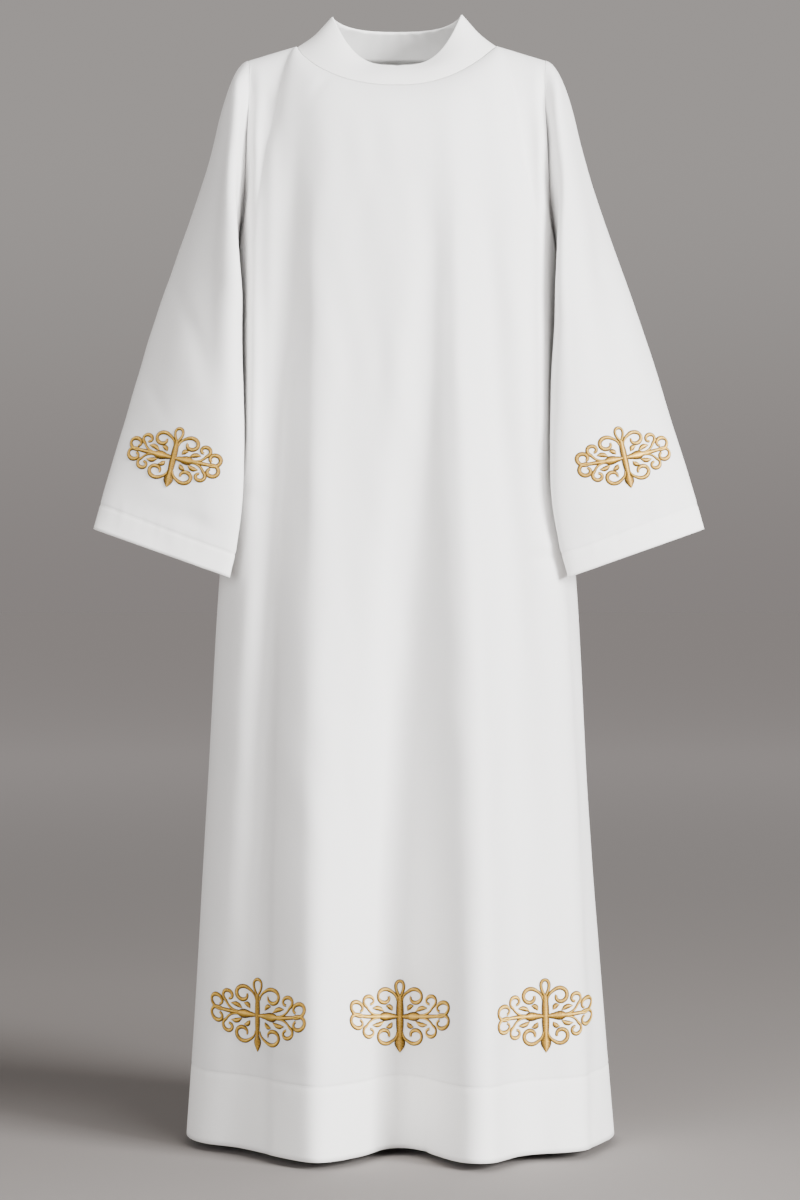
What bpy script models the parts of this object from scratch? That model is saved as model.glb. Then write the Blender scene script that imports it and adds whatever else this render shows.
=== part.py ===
# Alb: a white church robe, filled out as if worn, with nobody in it.
# Metres, +Z up, the front towards -Y. The origin is between the shoulders, at the height of the
# neck points, where the wearer carries the robe; the hem hangs LENGTH below it.

import math

import bpy
import bmesh
import numpy as np
from mathutils import Vector
from mathutils.geometry import delaunay_2d_cdt

# Driving dimensions
LENGTH = 1.447  # neck point to hem
CLOTH = 0.0015  # wall of the cloth
TURNED_CLOTH = 0.0030  # wall where the hem is turned up inside
SEAM_GAP = 0.0003  # between two sewn pieces
HEM_BAND = 0.095  # depth of the turned hem
CUFF_BAND = 0.033  # depth of the turned cuff

NECK_OUT = 0.132  # neck seam: half width, and its reach and drop at the front and the back
NECK_SQUARE = 2.2  # 2 would make the neck seam an ellipse
NECK_DIP = (1.36, 1.80)  # how late the seam dips from the left and the right shoulder
NECK_FRONT = 0.090
NECK_FRONT_DROP = 0.0633
NECK_BACK = 0.090
NECK_BACK_DROP = 0.0072
SHOULDER_OUT = 0.1985  # top of the armhole
SHOULDER_DROP = 0.0195
UNDERARM_OUT = 0.212  # bottom of the armhole
UNDERARM_DROP = 0.270
ARMHOLE_TOP = (-0.0090, 0.100, 0.0)  # pull of the armhole's curve at its top and its bottom
ARMHOLE_FOOT = (-0.0130, 0.088, 0.040)
ARMHOLE_DRAW = 0.085  # share of the panel's width over which it draws the cloth in

BAND_OUT = 0.087  # collar: half width of its folded top, and how far that reaches
BAND_FRONT = 0.058
BAND_BACK = 0.070
BAND_FRONT_RISE = -0.0335  # height of the fold over the origin: front, side and back
BAND_SIDE_RISE = 0.0405
BAND_BACK_RISE = 0.0305
BAND_TILT = 0.0015  # how much higher its right side stands, and lower its left
BAND_SCOOP = 3.1  # the higher, the more the fold's front is a U
BAND_THICK = 0.0032  # both layers
BAND_BULGE = 0.003  # outwards at the front and the back, inwards at the sides
BAND_PLY = 0.00128  # wall of one layer

# How the yoke leaves the neck and shoulder seams and comes down to the chest. fall is the slope
# at the middle of the neck, in degrees, and the other values run from the middle to the armhole.
YOKE_FALL = {-1: 42, 1: 32}
YOKE_START = (0.050, 0.100)
YOKE_AHEAD = (0.000, 0.088)
YOKE_UPRIGHT = (0.115, 0.040)
FOLD_FADE = 2.2  # the higher, the nearer to the side seams the folds still stand in full

# The body from the underarm down. half_width, front and back are measured from the line between
# the side seams, square is 2 for an ellipse, and shift moves the section to +X.
BODY_COLUMNS = ("drop", "half_width", "front", "back", "square", "shift")
BODY_SECTIONS = (
    (0.270, 0.2120, 0.135, 0.112, 2.30, 0.0000),
    (0.450, 0.2160, 0.138, 0.108, 2.30, 0.0000),
    (0.600, 0.2270, 0.144, 0.116, 2.20, 0.0000),
    (0.724, 0.2385, 0.152, 0.130, 2.10, 0.0010),
    (1.000, 0.2535, 0.178, 0.160, 2.00, 0.0005),
    (1.270, 0.2713, 0.204, 0.195, 2.00, 0.0030),
    (LENGTH, 0.2847, 0.220, 0.215, 2.00, 0.0045),
)

# Folds of the front and the back: a row gives, at each drop in FOLD_DROPS, where the fold lies
# across, how far it stands out (or in, below zero), and its reach to each side.
FOLD_DROPS = (0.20, 0.40, 0.65, 0.90, 1.15, LENGTH)
FRONT_FOLDS = {
    "left roll": {
        "across": (-0.180, -0.186, -0.192, -0.202, -0.210, -0.215),
        "rise": (0.002, 0.008, 0.011, 0.011, 0.006, 0.000),
        "reach": (0.024, 0.024, 0.024, 0.024, 0.026, 0.030),
    },
    "left valley": {
        "across": (-0.140, -0.148, -0.160, -0.176, -0.188, -0.215),
        "rise": (-0.003, -0.009, -0.016, -0.017, -0.016, -0.022),
        "reach": (0.026, 0.028, 0.030, 0.032, 0.034, 0.036),
    },
    "left ridge": {
        "across": (-0.098, -0.104, -0.107, -0.108, -0.109, -0.110),
        "rise": (0.003, 0.008, 0.015, 0.024, 0.033, 0.042),
        "reach": (0.034, 0.034, 0.036, 0.038, 0.040, 0.042),
    },
    "middle valley": {
        "across": (0.048, 0.042, 0.022, 0.008, 0.004, 0.002),
        "rise": (-0.003, -0.007, -0.018, -0.040, -0.064, -0.086),
        "reach": (0.024, 0.026, 0.038, 0.046, 0.048, 0.048),
    },
    "right ridge": {
        "across": (0.070, 0.074, 0.086, 0.100, 0.106, 0.104),
        "rise": (0.002, 0.008, 0.013, 0.022, 0.034, 0.046),
        "reach": (0.026, 0.026, 0.030, 0.034, 0.038, 0.042),
    },
    "right valley": {
        "across": (0.112, 0.126, 0.148, 0.164, 0.170, 0.172),
        "rise": (-0.002, -0.006, -0.007, -0.004, 0.000, 0.000),
        "reach": (0.022, 0.022, 0.024, 0.028, 0.030, 0.030),
    },
    "right roll": {
        "across": (0.160, 0.170, 0.184, 0.200, 0.216, 0.226),
        "rise": (0.002, 0.004, 0.006, 0.008, 0.012, 0.018),
        "reach": (0.026, 0.028, 0.032, 0.036, 0.038, 0.040),
    },
}
BACK_FOLDS = {
    "left ridge": {
        "across": (-0.110, -0.116, -0.128, -0.140, -0.148, -0.154),
        "rise": (0.000, 0.004, 0.010, 0.020, 0.029, 0.037),
        "reach": (0.036, 0.036, 0.038, 0.040, 0.042, 0.044),
    },
    "left valley": {
        "across": (-0.050, -0.054, -0.060, -0.066, -0.070, -0.074),
        "rise": (0.000, -0.004, -0.013, -0.028, -0.043, -0.056),
        "reach": (0.034, 0.034, 0.036, 0.038, 0.040, 0.042),
    },
    "middle ridge": {
        "across": (0.000, 0.002, 0.006, 0.010, 0.014, 0.016),
        "rise": (0.000, 0.004, 0.009, 0.016, 0.024, 0.032),
        "reach": (0.034, 0.034, 0.034, 0.036, 0.038, 0.040),
    },
    "right valley": {
        "across": (0.060, 0.066, 0.078, 0.088, 0.094, 0.098),
        "rise": (0.000, -0.005, -0.012, -0.024, -0.038, -0.050),
        "reach": (0.034, 0.034, 0.034, 0.036, 0.038, 0.040),
    },
    "right ridge": {
        "across": (0.126, 0.132, 0.146, 0.160, 0.170, 0.178),
        "rise": (0.000, 0.004, 0.010, 0.018, 0.028, 0.034),
        "reach": (0.034, 0.034, 0.036, 0.040, 0.042, 0.044),
    },
}

# A sleeve below its cap. out and front place the middle of a section, long and short are its
# half axes, turn swings the long axis back from the outward line, and tilt lifts its outer end.
SLEEVE_COLUMNS = ("drop", "out", "front", "long", "short", "turn", "tilt")
SLEEVE_SECTIONS = (
    (0.340, 0.2550, 0.017, 0.1060, 0.0400, 59.0, 40.0),
    (0.430, 0.2675, 0.034, 0.1020, 0.0440, 47.5, 30.0),
    (0.540, 0.2835, 0.058, 0.1005, 0.0370, 32.0, 24.0),
    (0.676, 0.3085, 0.082, 0.0986, 0.0230, 13.0, 19.5),
)
SLEEVE_SWING = {-1: 0.000, 1: 0.005}  # how much further out the cuff of each side hangs
# How the cap leaves the armhole, at shares of its half girth from the shoulder to the underarm
CAP_SHARES = (0.0, 0.2, 0.4, 0.6, 0.8, 1.0)
CAP_OUT = (1.0, 1.0, 0.95, 0.80, 0.45, 0.12)
CAP_AHEAD = (0.0, 0.24, 0.56, 0.66, 0.45, 0.0)
CAP_DOWN = (0.26, 0.16, 0.25, 0.60, 0.90, 1.0)
CAP_START = 0.036  # pull of the cap's curve at the armhole, and its share of the run at the sleeve
CAP_END_SHARE = 0.52
CAP_PROBE = 0.020  # run of the sleeve that the cap's end lines up with

# Embroidered cross: how thick it is and the size it stays inside, then the middle of each one,
# its turn in degrees, how its arms curve up (mm for each square mm from its middle) and its share
# of the full height
MOTIF_THICK = 0.0012
MOTIF_HALF_WIDTH = 0.070
MOTIF_HALF_HEIGHT = 0.060

# The cross's scrolls are centred on an ellipse and mirrored to all four quarters, in
# millimetres. Columns: place round the ellipse in degrees, radius, turn in degrees, width of
# the stroke, the point it springs from.
SCROLL_ELLIPSE = (57.0, 27.0)
SCROLL_POINTS = 7
SCROLLS = (
    (70, 9.5, -290, 4.4, (3.0, 20.0)),
    (46, 7.0, 270, 4.0, (27.0, 2.0)),
    (19, 8.5, 270, 4.4, (45.0, 1.0)),
)
CUTTER_REACH = 0.30
HEM_MOTIFS = (
    {"name": "cross_hem_left", "across": -0.1795, "drop": 1.2740, "turn": 0.2, "curve": 0.0020, "tall": 1.0},
    {"name": "cross_hem_middle", "across": 0.0038, "drop": 1.2773, "turn": 0.0, "curve": 0.0032, "tall": 1.0},
    {"name": "cross_hem_right", "across": 0.1912, "drop": 1.2728, "turn": 0.8, "curve": 0.0006, "tall": 1.0},
)
SLEEVE_MOTIFS = (
    {"name": "cross_sleeve_left", "across": -0.2912, "drop": 0.5520, "turn": -13.5, "curve": 0.0004, "tall": 0.85},
    {"name": "cross_sleeve_right", "across": 0.2965, "drop": 0.5520, "turn": 12.6, "curve": 0.0007, "tall": 0.87},
)

# How finely the surfaces are divided
TORSO_STEPS = (0, 0.04, 0.11, 0.20, 0.30, 0.41, 0.52, 0.63, 0.74, 0.84, 0.93, 1)
SHOULDER_STEPS = (0, 0.05, 0.22, 0.46, 0.72, 1)
BODY_ROWS = 9  # from the underarm to the top of the hem band
# The front and the back are each drawn in three lengths, every one a simple shell: the first
# row of each, and how many rows it has beyond that
PANEL_LENGTHS = {"chest": (0, 11), "waist": (11, 4), "skirt": (15, 8)}
BAND_STEP = 0.0035  # run over which the wall grows to that of the turned hem
FRONT_NECK_COLUMNS = 28
BACK_NECK_COLUMNS = 16
SLEEVE_CAP_STEPS = (0, 0.03, 0.14, 0.28, 0.44, 0.62, 0.81, 1)
SLEEVE_ROWS = 6
COLLAR_COLUMNS = 36
COLLAR_OUTSIDE = (0, 0.06, 0.35, 0.68, 1)
COLLAR_FOLD = (45, 90, 135)
COLLAR_INSIDE = (1, 0.62, 0.28, 0.03)
CURVE_SAMPLES = 241


def smooth(levels, values, at):
    # A curve through the values of a table that never overshoots them
    levels = np.asarray(levels, float)
    values = np.asarray(values, float)
    steps = np.diff(levels)
    rates = np.diff(values) / steps
    slopes = np.concatenate([rates[:1], np.zeros(len(rates) - 1), rates[-1:]])
    for i in range(1, len(rates)):
        if rates[i - 1] * rates[i] > 0:
            slopes[i] = 2 / (1 / rates[i - 1] + 1 / rates[i])
    at = min(max(at, levels[0]), levels[-1])
    i = min(int(np.searchsorted(levels, at, side="right")) - 1, len(steps) - 1)
    t = (at - levels[i]) / steps[i]
    return float(
        values[i] * (1 + 2 * t) * (1 - t) ** 2
        + slopes[i] * steps[i] * t * (1 - t) ** 2
        + values[i + 1] * t * t * (3 - 2 * t)
        + slopes[i + 1] * steps[i] * t * t * (t - 1)
    )


def table_row(columns, rows, drop):
    # The table's columns, each read at one drop
    levels = [row[0] for row in rows]
    return {
        name: smooth(levels, [row[i] for row in rows], drop)
        for i, name in enumerate(columns)
        if i > 0
    }


def power(wave, square):
    # A sine or cosine, squared off as a superellipse needs
    return np.sign(wave) * np.abs(wave) ** (2 / square)


def shares(points, closed=False):
    # How far along a line each of its points is, from 0 to 1
    ends = np.roll(points, -1, axis=0) if closed else points[1:]
    starts = points if closed else points[:-1]
    runs = np.linalg.norm(ends - starts, axis=1)
    return np.concatenate([[0], np.cumsum(runs)]) / runs.sum()


def spread(points, along):
    # Points of a finely drawn line at the given shares of its length
    have = shares(points)
    return np.stack([np.interp(along, have, points[:, i]) for i in range(3)], axis=1)


def bezier(a, b, c, d, t):
    return a * (1 - t) ** 3 + 3 * b * t * (1 - t) ** 2 + 3 * c * t * t * (1 - t) + d * t**3


def between(ends, share):
    return ends[0] + (ends[1] - ends[0]) * share


def ease(t):
    t = min(max(t, 0), 1)
    return t * t * (3 - 2 * t)


# ---- Front and back ----


def body_section(side, drop):
    # One panel's line round the body, from the left side seam to the right. side is -1 for the
    # front and 1 for the back. Folds fade out in the side seams.
    row = table_row(BODY_COLUMNS, BODY_SECTIONS, drop)
    turn = np.linspace(-math.pi / 2, math.pi / 2, CURVE_SAMPLES)
    x = row["half_width"] * power(np.sin(turn), row["square"])
    out = row["front" if side < 0 else "back"] * power(np.cos(turn), row["square"])
    rise = np.zeros_like(x)
    for fold in (FRONT_FOLDS if side < 0 else BACK_FOLDS).values():
        across, height, reach = (
            smooth(FOLD_DROPS, fold[name], drop) for name in ("across", "rise", "reach")
        )
        rise += height * np.exp(-(((x - across) / reach) ** 2))
    out = out + rise * np.clip(FOLD_FADE * np.cos(turn), 0, 1) ** 2
    y = side * (out + SEAM_GAP / 2)
    return np.stack([x + row["shift"], y, np.full_like(x, -drop)], axis=1)


def neck_seam(aside, ahead):
    # Points of the seam round the neck. ahead is 1 at the front and -1 at the back.
    reach = np.where(ahead > 0, NECK_FRONT, NECK_BACK)
    drop = np.where(ahead > 0, NECK_FRONT_DROP, NECK_BACK_DROP)
    x = NECK_OUT * power(aside, NECK_SQUARE)
    y = -reach * power(ahead, NECK_SQUARE)
    dip = np.where(aside > 0, NECK_DIP[1], NECK_DIP[0])
    return np.stack([x, y, -drop * np.abs(ahead) ** dip], axis=1)


def panel_top(side, neck_columns):
    # The left shoulder seam, the neck seam and the right shoulder seam
    turn = np.linspace(-math.pi / 2, math.pi / 2, neck_columns + 1)
    neck = neck_seam(np.sin(turn), -side * np.cos(turn))
    neck[:, 1] += side * SEAM_GAP / 2
    tip = np.array([SHOULDER_OUT, side * SEAM_GAP / 2, -SHOULDER_DROP])
    seam = [tip + (neck[-1] - tip) * step for step in SHOULDER_STEPS[:-1]]
    mirror = np.array([-1, 1, 1])
    return np.array([point * mirror for point in seam] + list(neck) + seam[::-1])


def underarm(side):
    return np.array([UNDERARM_OUT, side * SEAM_GAP / 2, -UNDERARM_DROP])


def armhole_line(side, t):
    # Half of the right armhole, from the shoulder tip (t = 0) to the underarm (t = 1)
    top = np.array([SHOULDER_OUT, side * SEAM_GAP / 2, -SHOULDER_DROP])
    end = underarm(side)
    mirror = np.array([1, side, 1])
    return bezier(top, top + ARMHOLE_TOP * mirror, end + ARMHOLE_FOOT * mirror, end, t)


def slip_of(top, chest):
    return (chest[-1][0] - top[-1][0]) / 3


def panel_points(side, neck_columns):
    # Rows of points down a panel: the yoke from the shoulder to the underarm, then the body
    top = panel_top(side, neck_columns)
    along = shares(top)
    chest = spread(body_section(side, UNDERARM_DROP), along)
    rows = []
    for t in TORSO_STEPS:
        row = []
        natural = bezier(top[-1], top[-1] + (slip_of(top, chest), 0, 0), chest[-1] - (slip_of(top, chest), 0, 0), chest[-1], t)
        drawn = natural[0] - armhole_line(side, t)[0]
        for start, end, share in zip(top, chest, along):
            edge = abs(2 * share - 1) ** 4
            middle = max(0.0, 1 - (abs(start[0]) / NECK_OUT) ** 2) ** 0.5
            fall = math.radians(YOKE_FALL[side]) * middle
            pull = between(YOKE_START, edge)
            slip = (end[0] - start[0]) / 3
            first = start + (slip, side * pull * math.cos(fall), -pull * math.sin(fall))
            last = end + (-slip, side * between(YOKE_AHEAD, edge), between(YOKE_UPRIGHT, edge))
            point = bezier(start, first, last, end, t)
            near = math.exp(-((min(share, 1 - share) / ARMHOLE_DRAW) ** 2))
            row.append(point - (math.copysign(drawn * near, share - 0.5), 0, 0))
        for column, sign in ((0, -1), (-1, 1)):
            row[column] = armhole_line(side, t) * np.array([sign, 1, 1])
        rows.append(row)
    band_top = LENGTH - HEM_BAND
    drops = list(np.linspace(UNDERARM_DROP, band_top - BAND_STEP, BODY_ROWS + 1)[1:])
    drops += [band_top, LENGTH - HEM_BAND / 2, LENGTH]
    for drop in drops:
        rows.append(spread(body_section(side, drop), along))
    return np.array(rows)


# ---- Sleeves ----


def sleeve_section(side, drop):
    # One closed line round a sleeve, from its outermost point over the front
    row = table_row(SLEEVE_COLUMNS, SLEEVE_SECTIONS, drop)
    turn = math.radians(row["turn"])
    tilt = math.radians(row["tilt"])
    along = ease((drop - SLEEVE_SECTIONS[0][0]) / (SLEEVE_SECTIONS[-1][0] - SLEEVE_SECTIONS[0][0]))
    level = math.atan2(row["long"] * math.sin(turn), row["short"] * math.cos(turn))
    outermost = math.atan2(row["short"] * math.sin(turn), row["long"] * math.cos(turn))
    angle = np.linspace(0, 2 * math.pi, CURVE_SAMPLES) + level + (outermost - level) * along
    u = row["long"] * np.cos(angle)
    v = row["short"] * np.sin(angle)
    out = u * math.cos(turn) + v * math.sin(turn)
    front = -u * math.sin(turn) + v * math.cos(turn)
    x = row["out"] + out * math.cos(tilt) + SLEEVE_SWING[side] * along
    y = -(row["front"] + front)
    z = -drop + out * math.sin(tilt)
    return np.stack([side * x, y, z], axis=1)


def sleeve_points(side):
    # Rows of points down a sleeve: the cap out of the armhole, then the sections to the cuff
    mirror = np.array([side, 1, 1])
    clear = np.array([SEAM_GAP, 0, 0])
    steps = list(TORSO_STEPS)
    hole = [armhole_line(-1, t) + clear for t in steps[:-1]]
    hole.append((underarm(-1) + underarm(1)) / 2 + clear)
    hole += [armhole_line(1, t) + clear for t in steps[-2:0:-1]]
    hole[0] = hole[0] * np.array([1, 0, 1])
    hole = np.array(hole)
    along = shares(hole, closed=True)[:-1]
    drops = [row[0] for row in SLEEVE_SECTIONS]
    upper = spread(sleeve_section(side, drops[0]), along) * mirror
    lower = spread(sleeve_section(side, drops[0] + CAP_PROBE), along) * mirror
    rows = []
    for t in SLEEVE_CAP_STEPS:
        row = []
        for start, end, below, share in zip(hole, upper, lower, along):
            part = 1 - abs(2 * share - 1)
            ahead = -1 if share < 0.5 else 1
            leave = np.array(
                [
                    smooth(CAP_SHARES, CAP_OUT, part),
                    ahead * smooth(CAP_SHARES, CAP_AHEAD, part),
                    -smooth(CAP_SHARES, CAP_DOWN, part),
                ]
            )
            leave = leave / np.linalg.norm(leave)
            fall = (end - below) / np.linalg.norm(end - below)
            span = np.linalg.norm(end - start)
            first = start + leave * CAP_START
            last = end + fall * span * CAP_END_SHARE
            row.append(bezier(start, first, last, end, t))
        rows.append(np.array(row) * mirror)
    cuff_top = drops[-1] - CUFF_BAND
    levels = list(np.linspace(drops[0], cuff_top - BAND_STEP, SLEEVE_ROWS + 1)[1:])
    for drop in levels + [cuff_top, drops[-1]]:
        rows.append(spread(sleeve_section(side, drop), along))
    return np.array(rows)


# ---- Collar ----


def collar_points():
    # Rows of points from the neck seam up the outside, over the fold and down the inside
    turn = np.linspace(0, 2 * math.pi, COLLAR_COLUMNS, endpoint=False)
    ahead = np.cos(turn)  # 1 at the front, -1 at the back
    aside = np.sin(turn)
    front = ahead > 0
    base = neck_seam(aside, ahead)
    lift = np.where(
        front,
        BAND_FRONT_RISE + (BAND_SIDE_RISE - BAND_FRONT_RISE) * np.abs(aside) ** BAND_SCOOP,
        BAND_BACK_RISE + (BAND_SIDE_RISE - BAND_BACK_RISE) * aside**4,
    )
    lift = lift + BAND_TILT * aside * aside**4
    bulge = BAND_BULGE * (1 - 2 * aside**6)
    rim = np.stack(
        [BAND_OUT * aside, -np.where(front, BAND_FRONT, BAND_BACK) * ahead, lift], axis=1
    )
    rise = rim - base
    rise /= np.linalg.norm(rise, axis=1)[:, None]
    round_the_neck = np.roll(base, -1, axis=0) - np.roll(base, 1, axis=0)
    outward = np.cross(round_the_neck, rise)
    outward /= np.linalg.norm(outward, axis=1)[:, None]
    base = base + rise * SEAM_GAP * 2
    half = BAND_THICK / 2
    rows = []
    for t in COLLAR_OUTSIDE:
        swell = bulge[:, None] * math.sin(math.pi * t)
        rows.append(base + (rim - base) * t + outward * swell)
    crown = rim - outward * half
    for angle in COLLAR_FOLD:
        way = math.radians(angle)
        rows.append(crown + outward * half * math.cos(way) + rise * half * math.sin(way))
    for t in COLLAR_INSIDE:
        swell = bulge[:, None] * math.sin(math.pi * t) - BAND_THICK
        rows.append(base + (rim - base) * t + outward * swell)
    return np.array(rows)


# ---- Embroidered cross, drawn flat in millimetres ----


def ribbon(path, widths):
    # Outline of a stroke that follows a path and swells and tapers with its widths
    path = np.array(path, float)
    way = np.gradient(path, axis=0)
    way /= np.linalg.norm(way, axis=1)[:, None]
    side = np.stack([-way[:, 1], way[:, 0]], axis=1)
    width = np.interp(np.linspace(0, 1, len(path)), np.linspace(0, 1, len(widths)), widths)
    half = side * width[:, None] / 2
    return np.concatenate([path + half, (path - half)[::-1]])


def spiral(middle, radii, angles, count):
    # Points on an arc that winds through a table of radii, angles in degrees
    share = np.linspace(0, 1, count)
    angle = np.radians(angles[0] + (angles[1] - angles[0]) * share)
    radius = np.interp(share, np.linspace(0, 1, len(radii)), radii)
    x = middle[0] + radius * np.cos(angle)
    y = middle[1] + radius * np.sin(angle)
    return np.stack([x, y], axis=1)


def drop_outline(tip, end, width, count):
    # A drop that is pointed at its tip and round at its end
    tip, end = np.array(tip, float), np.array(end, float)
    way = (end - tip) / np.linalg.norm(end - tip)
    side = np.array([-way[1], way[0]])
    angle = np.linspace(0, 2 * math.pi, count, endpoint=False)
    run = np.linalg.norm(end - tip) * (0.5 - 0.5 * np.cos(angle))
    half = width / 2 * np.sin(angle) * (0.5 - 0.5 * np.cos(angle)) ** 0.5
    return tip + np.outer(run, way) + np.outer(half, side)


def motif_shapes():
    # The cross with its drops and scrolls. Each shape overlaps the next, so they are one piece.
    upright = ((-4.6, 27), (-1.9, 0), (-4.6, -27), (4.6, -27), (1.9, 0), (4.6, 27))
    crossbar = ((-23, 4.4), (0, 1.8), (23, 4.4), (23, -4.4), (0, -1.8), (-23, -4.4))
    shapes = [
        np.array(upright),
        np.array(crossbar),
        drop_outline((0, 24), (0, 45), 12, 8),
        drop_outline((0, -23), (0, -45), 11, 8),
    ]
    for side in (-1, 1):
        shapes.append(np.array([(21, -2.2), (21, 2.2), (47, 1.8), (47, -1.8)]) * [side, 1])
        for up in (-1, 1):
            for place, radius, turn, width, spring in SCROLLS:
                angle = math.radians(place)
                middle = np.array([SCROLL_ELLIPSE[0] * math.cos(angle), SCROLL_ELLIPSE[1] * math.sin(angle)])
                away = np.array(spring) - middle
                start = math.degrees(math.atan2(away[1], away[0]))
                radii = (np.linalg.norm(away), radius * 1.1, radius, radius * 0.9)
                path = spiral(middle, radii, (start, start + turn), SCROLL_POINTS)
                shapes.append(ribbon(path, (width * 0.8, width, width, width * 0.6)) * [side, up])
    return shapes


# ---- Blender objects ----


def clear_scene():
    for thing in list(bpy.data.objects):
        bpy.data.objects.remove(thing, do_unlink=True)


def make_collection(name):
    group = bpy.data.collections.new(name)
    bpy.context.scene.collection.children.link(group)
    return group


def make_material(name, colour, roughness, metallic=0.0):
    material = bpy.data.materials.new(name)
    material.use_nodes = True
    shader = material.node_tree.nodes["Principled BSDF"]
    shader.inputs["Base Color"].default_value = (*colour, 1)
    shader.inputs["Roughness"].default_value = roughness
    shader.inputs["Metallic"].default_value = metallic
    material.diffuse_color = (*colour, 1)
    return material


def make_object(name, mesh, group, material):
    item = bpy.data.objects.new(name, mesh)
    group.objects.link(item)
    mesh.materials.append(material)
    mesh.shade_smooth()
    mesh.set_sharp_from_angle(angle=math.radians(50))
    return item


def grid_mesh(name, rows, closed=False):
    # A sheet of triangles through rows of points, rolled into a tube where the rows are closed.
    # Each four points are joined over their shorter diagonal.
    count = len(rows[0])
    points = [tuple(point) for row in rows for point in row]
    faces = []
    for i in range(len(rows) - 1):
        for j in range(count if closed else count - 1):
            k = (j + 1) % count
            a, b, c, d = i * count + j, (i + 1) * count + j, (i + 1) * count + k, i * count + k
            if math.dist(points[a], points[c]) <= math.dist(points[b], points[d]):
                faces += [(a, b, c), (a, c, d)]
            else:
                faces += [(a, b, d), (b, c, d)]
    mesh = bpy.data.meshes.new(name)
    mesh.from_pydata(points, [], faces)
    return mesh


def face_outwards(mesh, middle):
    # Turns the sheet over when most of its faces look towards the middle of what it wraps
    score = sum((face.center - middle).dot(face.normal) * face.area for face in mesh.polygons)
    if score < 0:
        mesh.flip_normals()


def wall(item, thickness, turned_rows, row_length):
    # Gives a sheet its wall, inwards, doubled over the rows of its turned hem
    group = item.vertex_groups.new(name="wall")
    for vertex in item.data.vertices:
        turned = vertex.index // row_length in turned_rows
        group.add([vertex.index], 1.0 if turned else CLOTH / thickness, "REPLACE")
    solid = item.modifiers.new("cloth", "SOLIDIFY")
    solid.thickness = thickness
    solid.offset = -1
    solid.vertex_group = group.name
    solid.use_even_offset = False


def make_panel(name, side, neck_columns, group, material):
    # The lengths meet edge to edge, a seam's gap apart. The turned hem is the skirt's last rows.
    panel = panel_points(side, neck_columns)
    lengths = {}
    for part, (first, count) in PANEL_LENGTHS.items():
        rows = panel[first : first + count + 1].copy()
        if first > 0:
            rows[0, :, 2] -= SEAM_GAP / 2
        if first + count < len(panel) - 1:
            rows[-1, :, 2] += SEAM_GAP / 2
        mesh = grid_mesh(name + "_" + part, rows)
        face_outwards(mesh, Vector((0, 0, -LENGTH / 2)))
        item = make_object(mesh.name, mesh, group, material)
        turned = range(len(rows) - 3, len(rows)) if part == "skirt" else ()
        wall(item, TURNED_CLOTH, turned, len(rows[0]))
        lengths[part] = item
    return lengths


def make_sleeve(name, side, group, material):
    rows = sleeve_points(side)
    mesh = grid_mesh(name, rows, closed=True)
    face_outwards(mesh, Vector(np.mean(rows.reshape(-1, 3), axis=0)))
    item = make_object(name, mesh, group, material)
    wall(item, TURNED_CLOTH, range(len(rows) - 2, len(rows)), len(rows[0]))
    return item


def make_collar(name, group, material):
    rows = collar_points()
    mesh = grid_mesh(name, rows, closed=True)
    item = make_object(name, mesh, group, material)
    top = max(mesh.vertices, key=lambda vertex: vertex.co.z)
    if top.normal.z < 0:
        mesh.flip_normals()
    solid = item.modifiers.new("cloth", "SOLIDIFY")
    solid.thickness = BAND_PLY
    solid.offset = -1
    solid.use_even_offset = False
    return item


def winds_round(shape, x, y):
    # How many times a closed outline goes round a point
    turns = 0
    for (x0, y0), (x1, y1) in zip(shape, np.roll(shape, -1, axis=0)):
        if (y0 > y) != (y1 > y) and x < x0 + (y - y0) * (x1 - x0) / (y1 - y0):
            turns += 1 if y1 > y0 else -1
    return turns


def joined_faces(shapes):
    # The area that overlapping outlines cover together, as triangles
    points = [tuple(point) for shape in shapes for point in shape]
    edges = []
    first = 0
    for shape in shapes:
        count = len(shape)
        edges += [(first + i, first + (i + 1) % count) for i in range(count)]
        first += count
    points, _, faces, _, _, _ = delaunay_2d_cdt(points, edges, [], 0, 0.02)
    kept = []
    for face in faces:
        x, y = np.mean([points[i] for i in face], axis=0)
        if any(winds_round(shape, x, y) for shape in shapes):
            kept.append(face)
    return points, kept


def motif_cutter(motif, group):
    # The flat cross as a prism that runs through the cloth from front to back
    points, faces = joined_faces(motif_shapes())
    turn = math.radians(motif["turn"])
    bm = bmesh.new()
    verts = []
    for across, up in points:
        up = up * motif["tall"] + motif["curve"] * across**2
        across, up = 0.001 * across, 0.001 * up
        x = motif["across"] + across * math.cos(turn) - up * math.sin(turn)
        z = -motif["drop"] + across * math.sin(turn) + up * math.cos(turn)
        verts.append(bm.verts.new((x, -CUTTER_REACH, z)))
    for face in faces:
        bm.faces.new([verts[i] for i in face])
    loose = [vert for vert in bm.verts if not vert.link_faces]
    bmesh.ops.delete(bm, geom=loose, context="VERTS")
    bmesh.ops.dissolve_limit(bm, angle_limit=math.radians(4), verts=bm.verts, edges=bm.edges)
    grown = bmesh.ops.extrude_face_region(bm, geom=bm.faces[:])
    moved = [v for v in grown["geom"] if isinstance(v, bmesh.types.BMVert)]
    bmesh.ops.translate(bm, verts=moved, vec=(0, CUTTER_REACH, 0))
    bmesh.ops.recalc_face_normals(bm, faces=bm.faces)
    mesh = bpy.data.meshes.new(motif["name"] + "_outline")
    bm.to_mesh(mesh)
    bm.free()
    cutter = bpy.data.objects.new(mesh.name, mesh)
    group.objects.link(cutter)
    cutter.hide_render = True
    cutter.display_type = "WIRE"
    return cutter


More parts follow.
